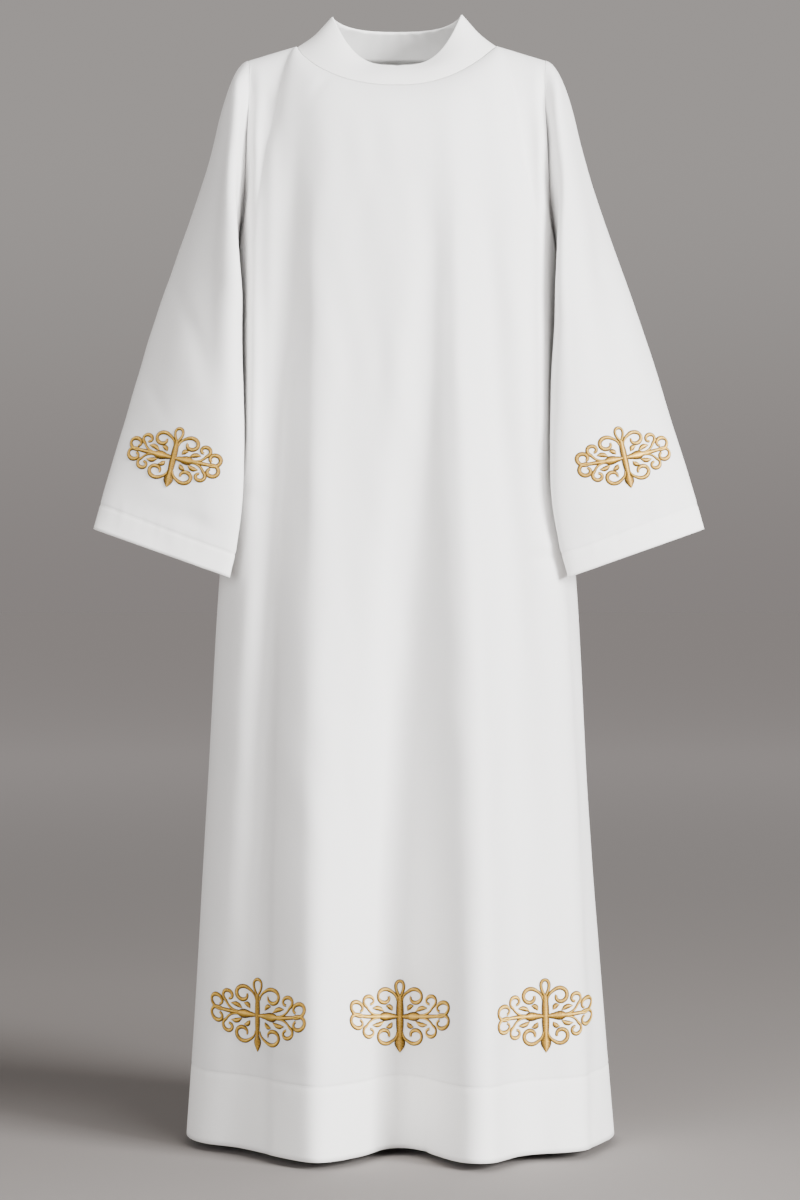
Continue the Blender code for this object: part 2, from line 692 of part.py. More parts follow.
def make_motif(motif, panel, group, cutters, material):
    # A patch of the panel's own faces, moved out and thickened, cut to the outline of the cross
    sheet = panel.data
    bm = bmesh.new()
    bm.from_mesh(sheet)
    for vert in bm.verts:
        vert.co = vert.co + vert.normal * SEAM_GAP
    far = []
    for face in bm.faces:
        xs = [vert.co.x - motif["across"] for vert in face.verts]
        zs = [vert.co.z + motif["drop"] for vert in face.verts]
        beside = min(xs) > MOTIF_HALF_WIDTH or max(xs) < -MOTIF_HALF_WIDTH
        above = min(zs) > MOTIF_HALF_HEIGHT or max(zs) < -MOTIF_HALF_HEIGHT
        if beside or above or face.normal.y > -0.05:
            far.append(face)
    bmesh.ops.delete(bm, geom=far, context="FACES")
    mesh = bpy.data.meshes.new(motif["name"])
    bm.to_mesh(mesh)
    bm.free()
    mesh.materials.clear()
    item = make_object(motif["name"], mesh, group, material)
    solid = item.modifiers.new("thread", "SOLIDIFY")
    solid.thickness = MOTIF_THICK
    solid.offset = 1
    cut = item.modifiers.new("outline", "BOOLEAN")
    cut.operation = "INTERSECT"
    cut.object = motif_cutter(motif, cutters)
    return item


def build_alb():
    clear_scene()
    alb = make_collection("alb")
    cutters = make_collection("cutters")
    cloth = make_material("woven cloth", (0.80, 0.80, 0.79), 0.85)
    thread = make_material("gold thread", (0.56, 0.34, 0.05), 0.45, 0.3)
    front = make_panel("front", -1, FRONT_NECK_COLUMNS, alb, cloth)
    make_panel("back", 1, BACK_NECK_COLUMNS, alb, cloth)
    sleeves = {
        -1: make_sleeve("sleeve_left", -1, alb, cloth),
        1: make_sleeve("sleeve_right", 1, alb, cloth),
    }
    make_collar("collar", alb, cloth)
    for motif in HEM_MOTIFS:
        make_motif(motif, front["skirt"], alb, cutters, thread)
    for motif in SLEEVE_MOTIFS:
        side = 1 if motif["across"] > 0 else -1
        make_motif(motif, sleeves[side], alb, cutters, thread)


build_alb()
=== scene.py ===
# A white alb with a folded band collar, wide sleeves and gold embroidered crosses.
# Metres, +Z up, the front towards -Y, the origin between the neck points.
import math
import bpy
import numpy as np
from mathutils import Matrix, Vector
from mathutils.bvhtree import BVHTree


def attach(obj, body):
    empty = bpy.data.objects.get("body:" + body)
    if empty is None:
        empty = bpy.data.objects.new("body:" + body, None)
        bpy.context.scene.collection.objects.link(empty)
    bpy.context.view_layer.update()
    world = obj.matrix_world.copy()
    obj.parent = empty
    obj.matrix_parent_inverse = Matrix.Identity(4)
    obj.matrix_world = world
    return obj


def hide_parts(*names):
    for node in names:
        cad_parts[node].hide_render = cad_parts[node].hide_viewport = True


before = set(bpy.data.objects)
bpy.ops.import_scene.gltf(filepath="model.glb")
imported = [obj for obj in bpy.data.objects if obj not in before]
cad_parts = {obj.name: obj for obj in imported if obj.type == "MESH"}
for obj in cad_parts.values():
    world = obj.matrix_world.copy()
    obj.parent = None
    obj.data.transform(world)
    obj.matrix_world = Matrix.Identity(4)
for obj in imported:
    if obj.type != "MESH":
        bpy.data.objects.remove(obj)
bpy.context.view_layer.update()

print("frame loaded")


# ---- what a user would change, one dictionary for each piece ----

cloth = {
    "wall": 0.0011,  # one layer
    "turned": 0.0024,  # where the hem and the cuffs are turned up inside
    "seamGap": 0.0003,
    "threadPitch": 0.0009,  # the real weave is about 0.4 mm, too fine to show
}
# the slight unevenness that pressed cloth always keeps, longer down than across
waves = {"count": 14, "across": (0.035, 0.090), "down": (0.12, 0.34)}

neck = {
    "halfWidth": 0.132, "square": 2.2, "dipLeft": 1.36, "dipRight": 1.80,
    "front": 0.090, "frontDrop": 0.0633, "back": 0.090, "backDrop": 0.0072,
}

armhole = {
    "tipOut": 0.1985, "tipDrop": 0.0195, "underOut": 0.212, "underDrop": 0.270,
    "topPull": (-0.0090, 0.100, 0.0), "footPull": (-0.0130, 0.088, 0.040), "draw": 0.085,
    # the soft crease along the seam, deepest between these shares of the way down it
    "creaseDepth": 0.015, "creaseReach": 0.0090,
    "creaseStart": (0.06, 0.42), "creaseEnd": (0.82, 1.0),
    # the cloth that it can reach: past the side seam, downwards and from the middle
    "past": 0.02, "lowest": 0.36, "innermost": 0.12,
}

yoke = {
    "fall": {-1: 42, 1: 32}, "start": (0.050, 0.100), "ahead": (0.000, 0.088),
    "upright": (0.115, 0.040),
}

# the robe from the underarm down, measured from the line between the side seams
body = {
    "length": 1.447, "hemBand": 0.095, "foldFade": 2.2,
    "drop": (0.270, 0.450, 0.600, 0.724, 1.000, 1.270, 1.447),
    "halfWidth": (0.2120, 0.2160, 0.2270, 0.2385, 0.2535, 0.2713, 0.2847),
    "front": (0.135, 0.138, 0.144, 0.152, 0.178, 0.204, 0.220),
    "back": (0.112, 0.108, 0.116, 0.130, 0.160, 0.195, 0.215),
    "square": (2.30, 2.30, 2.20, 2.10, 2.00, 2.00, 2.00),
    "shift": (0.0, 0.0, 0.0, 0.0010, 0.0005, 0.0030, 0.0045),
    "rows": 150, "yokeRows": 46, "hemRows": 15, "neckColumns": 112, "shoulderColumns": 26,
    "calm": (0.030, 0.024),  # how far creases keep from the top seam and from the sides
    "waves": 0.00045, "puckers": (0.0006, 0.034), "seamDip": 0.0010, "seamDipReach": 0.0022,
}
# behind each sleeve the body stays full almost to its side, then turns back sharply
corner = {
    "begins": (0.07, 0.15), "ends": (0.50, 0.62), "clear": (0.020, 0.050),
    "middle": 0.001, "at": 0.190, "reach": 0.011, "swell": 0.013, "turn": (0.195, 0.203), "sink": 0.006,
}
ringSteps = 721  # points round a section before it is shared out

# long folds: where each lies across at the drops, how far it stands out, and its reach, in
# millimetres
foldDrops = (0.20, 0.40, 0.65, 0.90, 1.15, 1.447)
frontFolds = {
    "leftRoll": ((-180, -186, -192, -202, -210, -215), (2, 8, 11, 11, 6, 0), (24, 24, 24, 24, 26, 30)),
    "leftValley": (
        (-140, -148, -160, -176, -188, -215), (-3, -9, -16, -17, -16, -22),
        (26, 28, 30, 32, 34, 36),
    ),
    "leftRidge": ((-98, -104, -107, -108, -109, -110), (3, 8, 15, 24, 33, 42), (34, 34, 36, 38, 40, 42)),
    "middleValley": ((48, 42, 22, 8, 4, 2), (-3, -7, -18, -40, -64, -86), (24, 26, 38, 46, 48, 48)),
    "rightRidge": ((70, 74, 86, 100, 106, 104), (2, 8, 13, 22, 34, 46), (26, 26, 30, 34, 38, 42)),
    "rightValley": ((112, 126, 148, 164, 170, 172), (-2, -6, -7, -4, 0, 0), (22, 22, 24, 28, 30, 30)),
    "rightRoll": ((160, 170, 184, 200, 216, 226), (2, 4, 6, 8, 12, 18), (26, 28, 32, 36, 38, 40)),
}
backFolds = {
    "leftRidge": ((-110, -116, -128, -140, -148, -154), (0, 4, 10, 20, 29, 37), (36, 36, 38, 40, 42, 44)),
    "leftValley": ((-50, -54, -60, -66, -70, -74), (0, -4, -13, -28, -43, -56), (34, 34, 36, 38, 40, 42)),
    "middleRidge": ((0, 2, 6, 10, 14, 16), (0, 4, 9, 16, 24, 32), (34, 34, 34, 36, 38, 40)),
    "rightValley": ((60, 66, 78, 88, 94, 98), (0, -5, -12, -24, -38, -50), (34, 34, 34, 36, 38, 40)),
    "rightRidge": ((126, 132, 146, 160, 170, 178), (0, 4, 10, 18, 28, 34), (34, 34, 36, 40, 42, 44)),
}

# smaller creases laid on top: (across, drop, rise) down the crease, then its reach to the
# left and to the right, all in millimetres
frontCreases = {
    "shoulderDragLeft": (((-172, 62, 0), (-166, 95, -2.2), (-158, 140, -1.4), (-152, 200, 0)), 9, 16),
    "shoulderRollLeft": (((-188, 70, 0), (-184, 120, 1.6), (-180, 200, 1.2), (-180, 300, 0)), 9, 10),
    "firstRoll": ((
        (-166, 80, 0), (-165, 160, 3.4), (-166, 300, 3.2),
        (-170, 440, 2.0), (-174, 600, 0),
    ), 12, 10),
    "firstTrough": (((-132, 120, 0), (-136, 220, -2.4), (-144, 420, -3.2), (-152, 640, 0)), 12, 12),
    "edgeOfRidge": ((
        (-104, 180, 0), (-104, 260, 2.2), (-104, 400, 3.4),
        (-105, 560, 3.4), (-108, 760, 0),
    ), 12, 30),
    "flankSwell": ((
        (-136, 380, 0), (-140, 500, 4.0), (-144, 700, 5.6), (-148, 900, 5.8),
        (-152, 1100, 5.0), (-154, 1400, 4.0), (-154, 1447, 4.0),
    ), 10, 24),
    "softHollow": (((-30, 220, 0), (-26, 330, -1.6), (-22, 470, -1.8), (-16, 620, 0)), 24, 18),
    "softSwell": (((0, 260, 0), (0, 420, 1.2), (-2, 540, 1.0), (-4, 700, 0)), 16, 20),
    "middleTrough": (((46, 180, 0), (46, 260, -2.4), (42, 420, -3.4), (34, 640, 0)), 24, 12),
    "sharpRidge": (((76, 180, 0), (77, 280, 3.0), (80, 430, 3.6), (88, 640, 2.0), (100, 860, 0)), 9, 24),
    "thirdTrough": (((120, 200, 0), (124, 300, -2.6), (130, 480, -3.2), (138, 660, 0)), 13, 16),
    "shoulderDragRight": (((166, 60, 0), (164, 100, -1.2), (160, 160, -1.6), (158, 240, 0)), 12, 12),
    "rightRollHigh": (((150, 130, 0), (152, 260, 1.2), (158, 460, 1.6), (166, 620, 0)), 16, 14),
    "narrowTrough": (((-162, 640, 0), (-166, 780, -2.4), (-176, 1000, -2.6), (-184, 1200, 0)), 12, 7),
    "leftStep": (((-112, 760, 0), (-112, 900, 0.8), (-111, 1120, 0.8), (-110, 1340, 0)), 12, 28),
    "valleyFloor": ((
        (14, 440, 0), (4, 620, -3.8), (-6, 800, -7.2),
        (-10, 1000, -8.8), (-12, 1200, -8.4), (-12, 1447, -7.4),
    ), 17, 46),
    "rightStep": ((
        (80, 420, 0), (86, 560, 5.0), (94, 740, 9.0),
        (100, 960, 10.5), (104, 1200, 10.0), (106, 1447, 8.5),
    ), 52, 24),
    "sideSwell": ((
        (196, 560, 0), (208, 680, 4.0), (218, 900, 5.0),
        (228, 1150, 5.0), (236, 1447, 4.0),
    ), 26, 16),
    "sideHollow": ((
        (146, 480, 0), (150, 640, -3.4), (154, 860, -4.6),
        (158, 1100, -4.6), (162, 1447, -4.0),
    ), 20, 24),
    "sideRidge": ((
        (196, 540, 0), (204, 680, 4.5), (214, 880, 7.0),
        (226, 1150, 7.0), (234, 1447, 6.0),
    ), 32, 14),
    "valleyTuck": (((34, 1290, 0), (34, 1370, -2.4), (34, 1447, -3.2)), 5, 5),
}
# short dents off the long folds: across, drop, angle from level, half length, half width, rise
frontDents = {
    "hipDimple": (189, 682, -12, 17, 7, -2.4),
    "underDimple": (193, 668, -8, 18, 6, 1.3),
    "leftElbowPull": (-190, 600, 35, 30, 8, -1.2),
    "neckPullLeft": (-98, 62, -58, 26, 8, -1.1),
    "neckPullRight": (92, 66, 52, 26, 9, -0.7),
    "chestSoft": (20, 190, 6, 60, 22, -0.8),
    "kneeSoft": (-60, 880, 12, 50, 16, -0.8),
    "hemSoftLeft": (-150, 1330, 20, 40, 12, -0.9),
    "hemSoftRight": (140, 1310, -24, 44, 12, -0.9),
}
backCreases = {
    "shoulderDragLeft": (((-166, 50, 0), (-160, 100, -1.8), (-152, 170, -1.2), (-148, 240, 0)), 12, 16),
    "bladeLeft": (((-118, 130, 0), (-122, 240, 1.6), (-130, 420, 1.8), (-138, 640, 0)), 10, 24),
    "troughLeft": (((-78, 200, 0), (-76, 340, -1.8), (-72, 560, -2.2), (-70, 820, 0)), 18, 12),
    "spine": (((4, 180, 0), (4, 330, -1.2), (8, 520, -1.0), (10, 700, 0)), 20, 16),
    "troughRight": (((62, 180, 0), (68, 320, -1.8), (80, 560, -2.4), (88, 840, 0)), 12, 20),
    "bladeRight": (((104, 150, 0), (112, 280, 1.8), (126, 460, 1.8), (142, 700, 0)), 9, 24),
    "shoulderDragRight": (((170, 50, 0), (162, 110, -1.8), (156, 190, -1.2), (152, 260, 0)), 16, 12),
    "lowStepLeft": (((-150, 820, 0), (-152, 960, 1.8), (-154, 1160, 1.6), (-156, 1380, 0)), 9, 26),
    "lowStepRight": (((166, 860, 0), (170, 1010, 1.8), (174, 1180, 1.4), (178, 1400, 0)), 24, 9),
    "tuck": (((-44, 1300, 0), (-44, 1380, -2.0), (-44, 1447, -2.6)), 5, 6),
}
backDents = {
    "napePull": (-50, 40, 50, 26, 8, -0.8),
    "napePullRight": (56, 42, -46, 26, 8, -0.8),
    "hipSoft": (-150, 660, 24, 34, 10, -1.4),
    "hipSoftRight": (168, 700, -28, 30, 9, -1.3),
    "lowSoft": (40, 1290, 14, 46, 13, -0.9),
}

sleeve = {
    "drop": (0.340, 0.430, 0.540, 0.676),
    "out": (0.2550, 0.2675, 0.2835, 0.3085),
    "front": (0.017, 0.034, 0.058, 0.082),
    "long": (0.1060, 0.1020, 0.1005, 0.0986),
    "short": (0.0400, 0.0440, 0.0370, 0.0230),
    "turn": (59, 47.5, 32, 13),
    "tilt": (40, 30, 24, 19.5),
    "swing": {-1: 0.0, 1: 0.005},
    "cuffBand": 0.033,
    "capShares": (0, 0.2, 0.4, 0.6, 0.8, 1), "capOut": (1, 1, 0.95, 0.80, 0.45, 0.12),
    "capAhead": (0, 0.24, 0.56, 0.66, 0.45, 0), "capDown": (0.26, 0.16, 0.25, 0.60, 0.90, 1),
    "capStart": 0.036, "capEnd": 0.52, "capProbe": 0.020,
    "halfColumns": 64, "capRows": 56, "rows": 74,
    "cuffRows": 8, "calm": 0.020, "facing": (0.05, 0.55), "waves": 0.00040, "puckers": (0.0007, 0.026),
    # drop, then how far the left and the right sleeve roll in
    "roll": (
        (0.05, 0.0, 0.0), (0.09, 0.002, 0.002), (0.14, 0.002, 0.001), (0.20, 0.002, 0.0),
        (0.26, 0.005, 0.002), (0.32, 0.006, 0.002), (0.38, 0.003, 0.0), (0.46, 0.001, 0.001),
        (0.54, 0.003, 0.005), (0.62, 0.005, 0.009), (0.665, 0.004, 0.008), (0.705, 0.0, 0.0),
    ),
    "rollAhead": (0.030, 0.070), "rollInside": (0.200, 0.250),
}
sleeveCreases = {
    -1: {
        "capFold": (((-216, 24, 0), (-213, 60, 3.0), (-214, 120, 2.6), (-218, 200, 0)), 9, 8),
        "innerRoll": (((-214, 110, 0), (-216, 220, 2.2), (-218, 380, 2.4), (-222, 560, 0)), 12, 10),
        "longTrough": ((
            (-232, 90, 0), (-240, 180, -3.4), (-246, 300, -3.6),
            (-246, 420, -1.6), (-248, 520, 0),
        ), 16, 12),
        "outerSwell": (((-262, 200, 0), (-276, 300, 1.6), (-290, 400, 1.6), (-300, 480, 0)), 18, 18),
        "elbowFold": (((-300, 300, 0), (-286, 340, -1.2), (-262, 400, -1.6), (-250, 470, 0)), 12, 12),
    },
    1: {
        "capFold": (((215, 24, 0), (213, 60, 2.4), (214, 110, 2.0), (220, 190, 0)), 8, 10),
        "innerTrough": (((222, 130, 0), (223, 220, -1.8), (226, 380, -1.6), (232, 540, 0)), 7, 10),
        "innerRoll": (((236, 150, 0), (244, 260, 2.2), (252, 380, 2.4), (258, 520, 0)), 12, 14),
        "longTrough": (((258, 200, 0), (272, 290, -2.4), (288, 400, -2.6), (296, 500, 0)), 14, 16),
        "outerSwell": (((286, 230, 0), (302, 330, 1.6), (320, 430, 1.4), (336, 520, 0)), 16, 14),
    },
}
sleeveDents = {
    -1: {
        "cuffHollow": (-292, 626, 14, 36, 13, -2.0),
        "cuffHollowInner": (-252, 640, 20, 22, 10, -1.4),
        "elbowPull": (-248, 330, -40, 30, 9, -1.3),
        "outerPull": (-318, 470, 62, 34, 10, -1.0),
    },
    1: {
        "cuffHollow": (300, 628, -14, 30, 12, -1.4),
        "cuffHollowInner": (262, 650, -22, 20, 9, -1.6),
        "elbowPull": (262, 300, 48, 30, 9, -1.1),
        "outerPull": (330, 480, -60, 34, 10, -1.0),
    },
}
# the hidden side of each sleeve, seen from behind
sleeveBackCreases = {
    -1: {
        "capFold": (((-214, 30, 0), (-212, 80, 2.2), (-216, 150, 1.8), (-224, 230, 0)), 8, 9),
        "longTrough": (((-236, 120, 0), (-248, 230, -2.8), (-262, 360, -2.8), (-280, 520, 0)), 12, 15),
        "outerRoll": (((-262, 180, 0), (-284, 300, 2.0), (-306, 430, 1.8), (-330, 560, 0)), 12, 12),
    },
    1: {
        "capFold": (((214, 30, 0), (212, 76, 2.4), (216, 150, 1.6), (224, 220, 0)), 9, 8),
        "longTrough": (((240, 130, 0), (252, 240, -2.6), (270, 370, -3.0), (290, 520, 0)), 15, 12),
        "outerRoll": (((268, 200, 0), (290, 310, 1.8), (312, 430, 2.0), (336, 570, 0)), 13, 12),
    },
}
sleeveBackDents = {
    -1: {"elbow": (-262, 400, -30, 32, 9, -1.6), "cuff": (-306, 622, 16, 34, 11, -1.6)},
    1: {"elbow": (268, 390, 34, 32, 9, -1.6), "cuff": (310, 624, -14, 32, 11, -1.4)},
}

collar = {
    "halfWidth": 0.087, "front": 0.058, "back": 0.070,
    "frontRise": -0.0335, "sideRise": 0.0405, "backRise": 0.0305, "tilt": 0.0015, "scoop": 3.1,
    "thick": 0.0032, "ply": 0.00128, "bulge": 0.003, "columns": 288,
    # shares of the height up the outside, degrees over the top edge, shares down the inside
    "outerRows": (0, 0.012, 0.03, 0.06, 0.12, 0.2, 0.3, 0.4, 0.5, 0.6, 0.7, 0.8, 0.88, 0.94, 1),
    "edgeTurns": (22, 45, 68, 90, 112, 135, 158),
    "innerRows": (1, 0.94, 0.86, 0.76, 0.65, 0.52, 0.40, 0.28, 0.16, 0.03),
    "puckerDepth": 0.0011, "puckerReach": 4.0,
}
# soft places on the band: degrees round from the front, height share, reach of both, rise in mm
collarDents = {
    "frontNotch": (0, 1.0, 3.2, 0.16, -1.0),
    "frontLeft": (-28, 0.55, 14, 0.30, -1.1),
    "frontRight": (34, 0.50, 16, 0.34, 1.0),
    "leftPeak": (-78, 0.80, 13, 0.30, 1.2),
    "rightPeak": (80, 0.78, 12, 0.30, 1.3),
    "leftSide": (-106, 0.45, 12, 0.30, -1.2),
    "rightSide": (110, 0.45, 13, 0.30, -1.1),
    "backLeft": (-150, 0.55, 12, 0.35, 1.0),
    "backRight": (152, 0.60, 12, 0.35, 0.9),
}
# small gathers inside the band, in degrees round from the front
innerPuckers = (-128, -150, -163, -174, -186, -199, -216, -238, -118, 118, -96, 92)

# the stitched line of a turned edge, its groove, and how far gathers run above and below it
hemSeam = {
    "stitch": 0.0034, "thread": 0.00055, "rise": 0.00045,
    "groove": 0.0008, "grooveReach": 0.0016, "above": 0.011, "below": 0.020,
}

print("settings read")


# ---- small tools ----


def readTable(levels, values, at):
    # a curve through the table's values that never overshoots them, for one place or many
    levels = np.asarray(levels, float)
    values = np.asarray(values, float)
    steps = np.diff(levels)
    rates = np.diff(values) / steps
    slopes = np.concatenate([rates[:1], np.zeros(len(rates) - 1), rates[-1:]])
    for i in range(1, len(rates)):
        if rates[i - 1] * rates[i] > 0:
            slopes[i] = 2 / (1 / rates[i - 1] + 1 / rates[i])
    at = np.clip(np.asarray(at, float), levels[0], levels[-1])
    i = np.clip(np.searchsorted(levels, at, side="right") - 1, 0, len(steps) - 1)
    t = (at - levels[i]) / steps[i]
    return (
        values[i] * (1 + 2 * t) * (1 - t) ** 2
        + slopes[i] * steps[i] * t * (1 - t) ** 2
        + values[i + 1] * t * t * (3 - 2 * t)
        + slopes[i + 1] * steps[i] * t * t * (t - 1)
    )


def power(wave, square):
    return np.sign(wave) * np.abs(wave) ** (2 / square)


def smoothStep(low, high, at):
    t = np.clip((np.asarray(at, float) - low) / (high - low), 0, 1)
    return t * t * (3 - 2 * t)


def shares(points, closed=False):
    ends = np.roll(points, -1, axis=0) if closed else points[1:]
    starts = points if closed else points[:-1]
    runs = np.linalg.norm(ends - starts, axis=1)
    return np.concatenate([[0], np.cumsum(runs)]) / runs.sum()


def hill(away):
    # 1 in the middle, falling smoothly to 0 on both sides
    return np.exp(-(away**2))


def runLengths(points):
    # how far along the line each point lies
    return np.concatenate([[0], np.cumsum(np.linalg.norm(np.diff(points, axis=0), axis=1))])


def spread(points, along):
    have = shares(points)
    return np.stack([np.interp(along, have, points[:, i]) for i in range(3)], axis=1)


def bezier(a, b, c, d, t):
    return a * (1 - t) ** 3 + 3 * b * t * (1 - t) ** 2 + 3 * c * t * t * (1 - t) + d * t**3


def unit(vectors):
    return vectors / np.maximum(np.linalg.norm(vectors, axis=-1, keepdims=True), 1e-9)


def gridNormals(points, closed):
    # which way the cloth faces at each point, away from the middle of what it wraps
    if closed:
        along = np.roll(points, -1, axis=1) - np.roll(points, 1, axis=1)
    else:
        along = np.gradient(points, axis=1)
    normals = unit(np.cross(along, np.gradient(points, axis=0)))
    middle = points.reshape(-1, 3).mean(axis=0)
    if not closed:
        middle[1] = 0
    if np.sum((points - middle) * normals) < 0:
        normals = -normals
    return normals


def creaseRise(points, creases):
    # height of long creases at each point; they run mostly downwards
    x, drop = points[..., 0] * 1000, -points[..., 2] * 1000
    rise = np.zeros_like(x)
    for line, left, right in creases.values():
        drops = [row[1] for row in line]
        off = x - readTable(drops, [row[0] for row in line], drop)
        height = readTable(drops, [row[2] for row in line], drop)
        inside = (drop >= drops[0]) & ((drop <= drops[-1]) | (line[-1][2] != 0))
        reach = np.where(off < 0, left, right)
        rise += np.where(inside, height, 0) * hill(off / reach)
    return rise / 1000


def dentRise(points, dents):
    x, drop = points[..., 0] * 1000, -points[..., 2] * 1000
    rise = np.zeros_like(x)
    for across, down, angle, halfLength, halfWidth, height in dents.values():
        turn = math.radians(angle)
        dx, dd = x - across, drop - down
        u = (dx * math.cos(turn) + dd * math.sin(turn)) / halfLength
        v = (-dx * math.sin(turn) + dd * math.cos(turn)) / halfWidth
        rise += height * np.exp(-(u**2) - v**2)
    return rise / 1000


def gentleWaves(points, seed, height):
    rng = np.random.default_rng(seed)
    x, y, z = points[..., 0], points[..., 1], points[..., 2]
    rise = np.zeros_like(x)
    for _ in range(waves["count"]):
        across = rng.uniform(*waves["across"])
        down = rng.uniform(*waves["down"])
        phase = rng.uniform(0, 2 * math.pi, 2)
        sideways = np.sin(2 * math.pi * (x + 0.4 * y) / across + phase[0] + 1.5 * z)
        rise += sideways * np.sin(2 * math.pi * z / down + phase[1])
    return rise * height / math.sqrt(waves["count"])


# ---- the shapes of the panels and sleeves ----


def neckSeam(aside, ahead):
    reach = np.where(ahead > 0, neck["front"], neck["back"])
    drop = np.where(ahead > 0, neck["frontDrop"], neck["backDrop"])
    x = neck["halfWidth"] * power(aside, neck["square"])
    y = -reach * power(ahead, neck["square"])
    dip = np.where(aside > 0, neck["dipRight"], neck["dipLeft"])
    return np.stack([x, y, -drop * np.abs(ahead) ** dip], axis=1)


def panelTop(side):
    turn = np.linspace(-math.pi / 2, math.pi / 2, body["neckColumns"] + 1)
    seam = neckSeam(np.sin(turn), -side * np.cos(turn))
    seam[:, 1] += side * cloth["seamGap"] / 2
    tip = np.array([armhole["tipOut"], side * cloth["seamGap"] / 2, -armhole["tipDrop"]])
    steps = np.linspace(0, 1, body["shoulderColumns"] + 1)[:-1] ** 1.35
    shoulder = tip + (seam[-1] - tip) * steps[:, None]
    return np.concatenate([shoulder * [-1, 1, 1], seam, shoulder[::-1]])


def underarm(side):
    return np.array([armhole["underOut"], side * cloth["seamGap"] / 2, -armhole["underDrop"]])


def armholeLine(side, t):
    top = np.array([armhole["tipOut"], side * cloth["seamGap"] / 2, -armhole["tipDrop"]])
    end = underarm(side)
    mirror = np.array([1, side, 1])
    t = np.asarray(t, float)[..., None]
    return bezier(top, top + armhole["topPull"] * mirror, end + armhole["footPull"] * mirror, end, t)


def bodySection(side, drop):
    row = {
        name: float(readTable(body["drop"], body[name], drop))
        for name in ("halfWidth", "front", "back", "square", "shift")
    }
    turn = np.linspace(-math.pi / 2, math.pi / 2, ringSteps)
    x = row["halfWidth"] * power(np.sin(turn), row["square"])
    out = row["front" if side < 0 else "back"] * power(np.cos(turn), row["square"])
    rise = np.zeros_like(x)
    for across, height, reach in (frontFolds if side < 0 else backFolds).values():
        tables = np.array([across, height, reach]) / 1000
        at = [float(readTable(foldDrops, values, drop)) for values in tables]
        rise += at[1] * hill((x - at[0]) / at[2])
    out = out + rise * np.clip(body["foldFade"] * np.cos(turn), 0, 1) ** 2
    y = side * (out + cloth["seamGap"] / 2)
    return np.stack([x + row["shift"], y, np.full_like(x, -drop)], axis=1)


def rowDrops(start, end, band, rows, bandRows):
    # the rows down to a turned edge, close together where it is stitched
    top = end - band
    drops = list(np.linspace(start, top - 0.003, rows + 1)[1:])
    drops += [top - 0.0015, top, top + 0.0015]
    return drops + list(np.linspace(top + 0.004, end, bandRows))


def belowSeam(rows, bandRows):
    # which rows are on the turned edge
    return np.arange(len(rows)) >= len(rows) - bandRows - 1


def panelPoints(side):
    # rows of points down one panel: the yoke, the body, and the turned hem
    top = panelTop(side)
    along = shares(top)
    chest = spread(bodySection(side, armhole["underDrop"]), along)
    edge = np.abs(2 * along - 1) ** 4
    middle = np.sqrt(np.clip(1 - (np.abs(top[:, 0]) / neck["halfWidth"]) ** 2, 0, 1))
    fall = math.radians(yoke["fall"][side]) * middle
    pull = yoke["start"][0] + (yoke["start"][1] - yoke["start"][0]) * edge
    ahead = yoke["ahead"][0] + (yoke["ahead"][1] - yoke["ahead"][0]) * edge
    upright = yoke["upright"][0] + (yoke["upright"][1] - yoke["upright"][0]) * edge
    slip = (chest[:, 0] - top[:, 0]) / 3
    first = top + np.stack([slip, side * pull * np.cos(fall), -pull * np.sin(fall)], axis=1)
    last = chest + np.stack([-slip, side * ahead, upright], axis=1)
    steps = np.linspace(0, 1, body["yokeRows"] + 1)
    near = hill(np.minimum(along, 1 - along) / armhole["draw"]) * np.sign(along - 0.5)
    rows = []
    for t in steps:
        row = bezier(top, first, last, chest, t)
        rim = armholeLine(side, t)
        row[:, 0] -= (row[-1, 0] - rim[0]) * near
        row[0], row[-1] = rim * [-1, 1, 1], rim
        rows.append(row)
    drops = rowDrops(armhole["underDrop"], body["length"], body["hemBand"], body["rows"], body["hemRows"])
    rows += [spread(bodySection(side, drop), along) for drop in drops]
    return np.array(rows), belowSeam(rows, body["hemRows"])


def sleeveSection(side, drop):
    row = {
        name: float(readTable(sleeve["drop"], sleeve[name], drop))
        for name in ("out", "front", "long", "short", "turn", "tilt")
    }
    turn, tilt = math.radians(row["turn"]), math.radians(row["tilt"])
    along = float(smoothStep(sleeve["drop"][0], sleeve["drop"][-1], drop))
    level = math.atan2(row["long"] * math.sin(turn), row["short"] * math.cos(turn))
    outermost = math.atan2(row["short"] * math.sin(turn), row["long"] * math.cos(turn))
    angle = np.linspace(0, 2 * math.pi, ringSteps) + level + (outermost - level) * along
    u, v = row["long"] * np.cos(angle), row["short"] * np.sin(angle)
    out = u * math.cos(turn) + v * math.sin(turn)
    front = -u * math.sin(turn) + v * math.cos(turn)
    x = row["out"] + out * math.cos(tilt) + sleeve["swing"][side] * along
    return np.stack([side * x, -(row["front"] + front), -drop + out * math.sin(tilt)], axis=1)


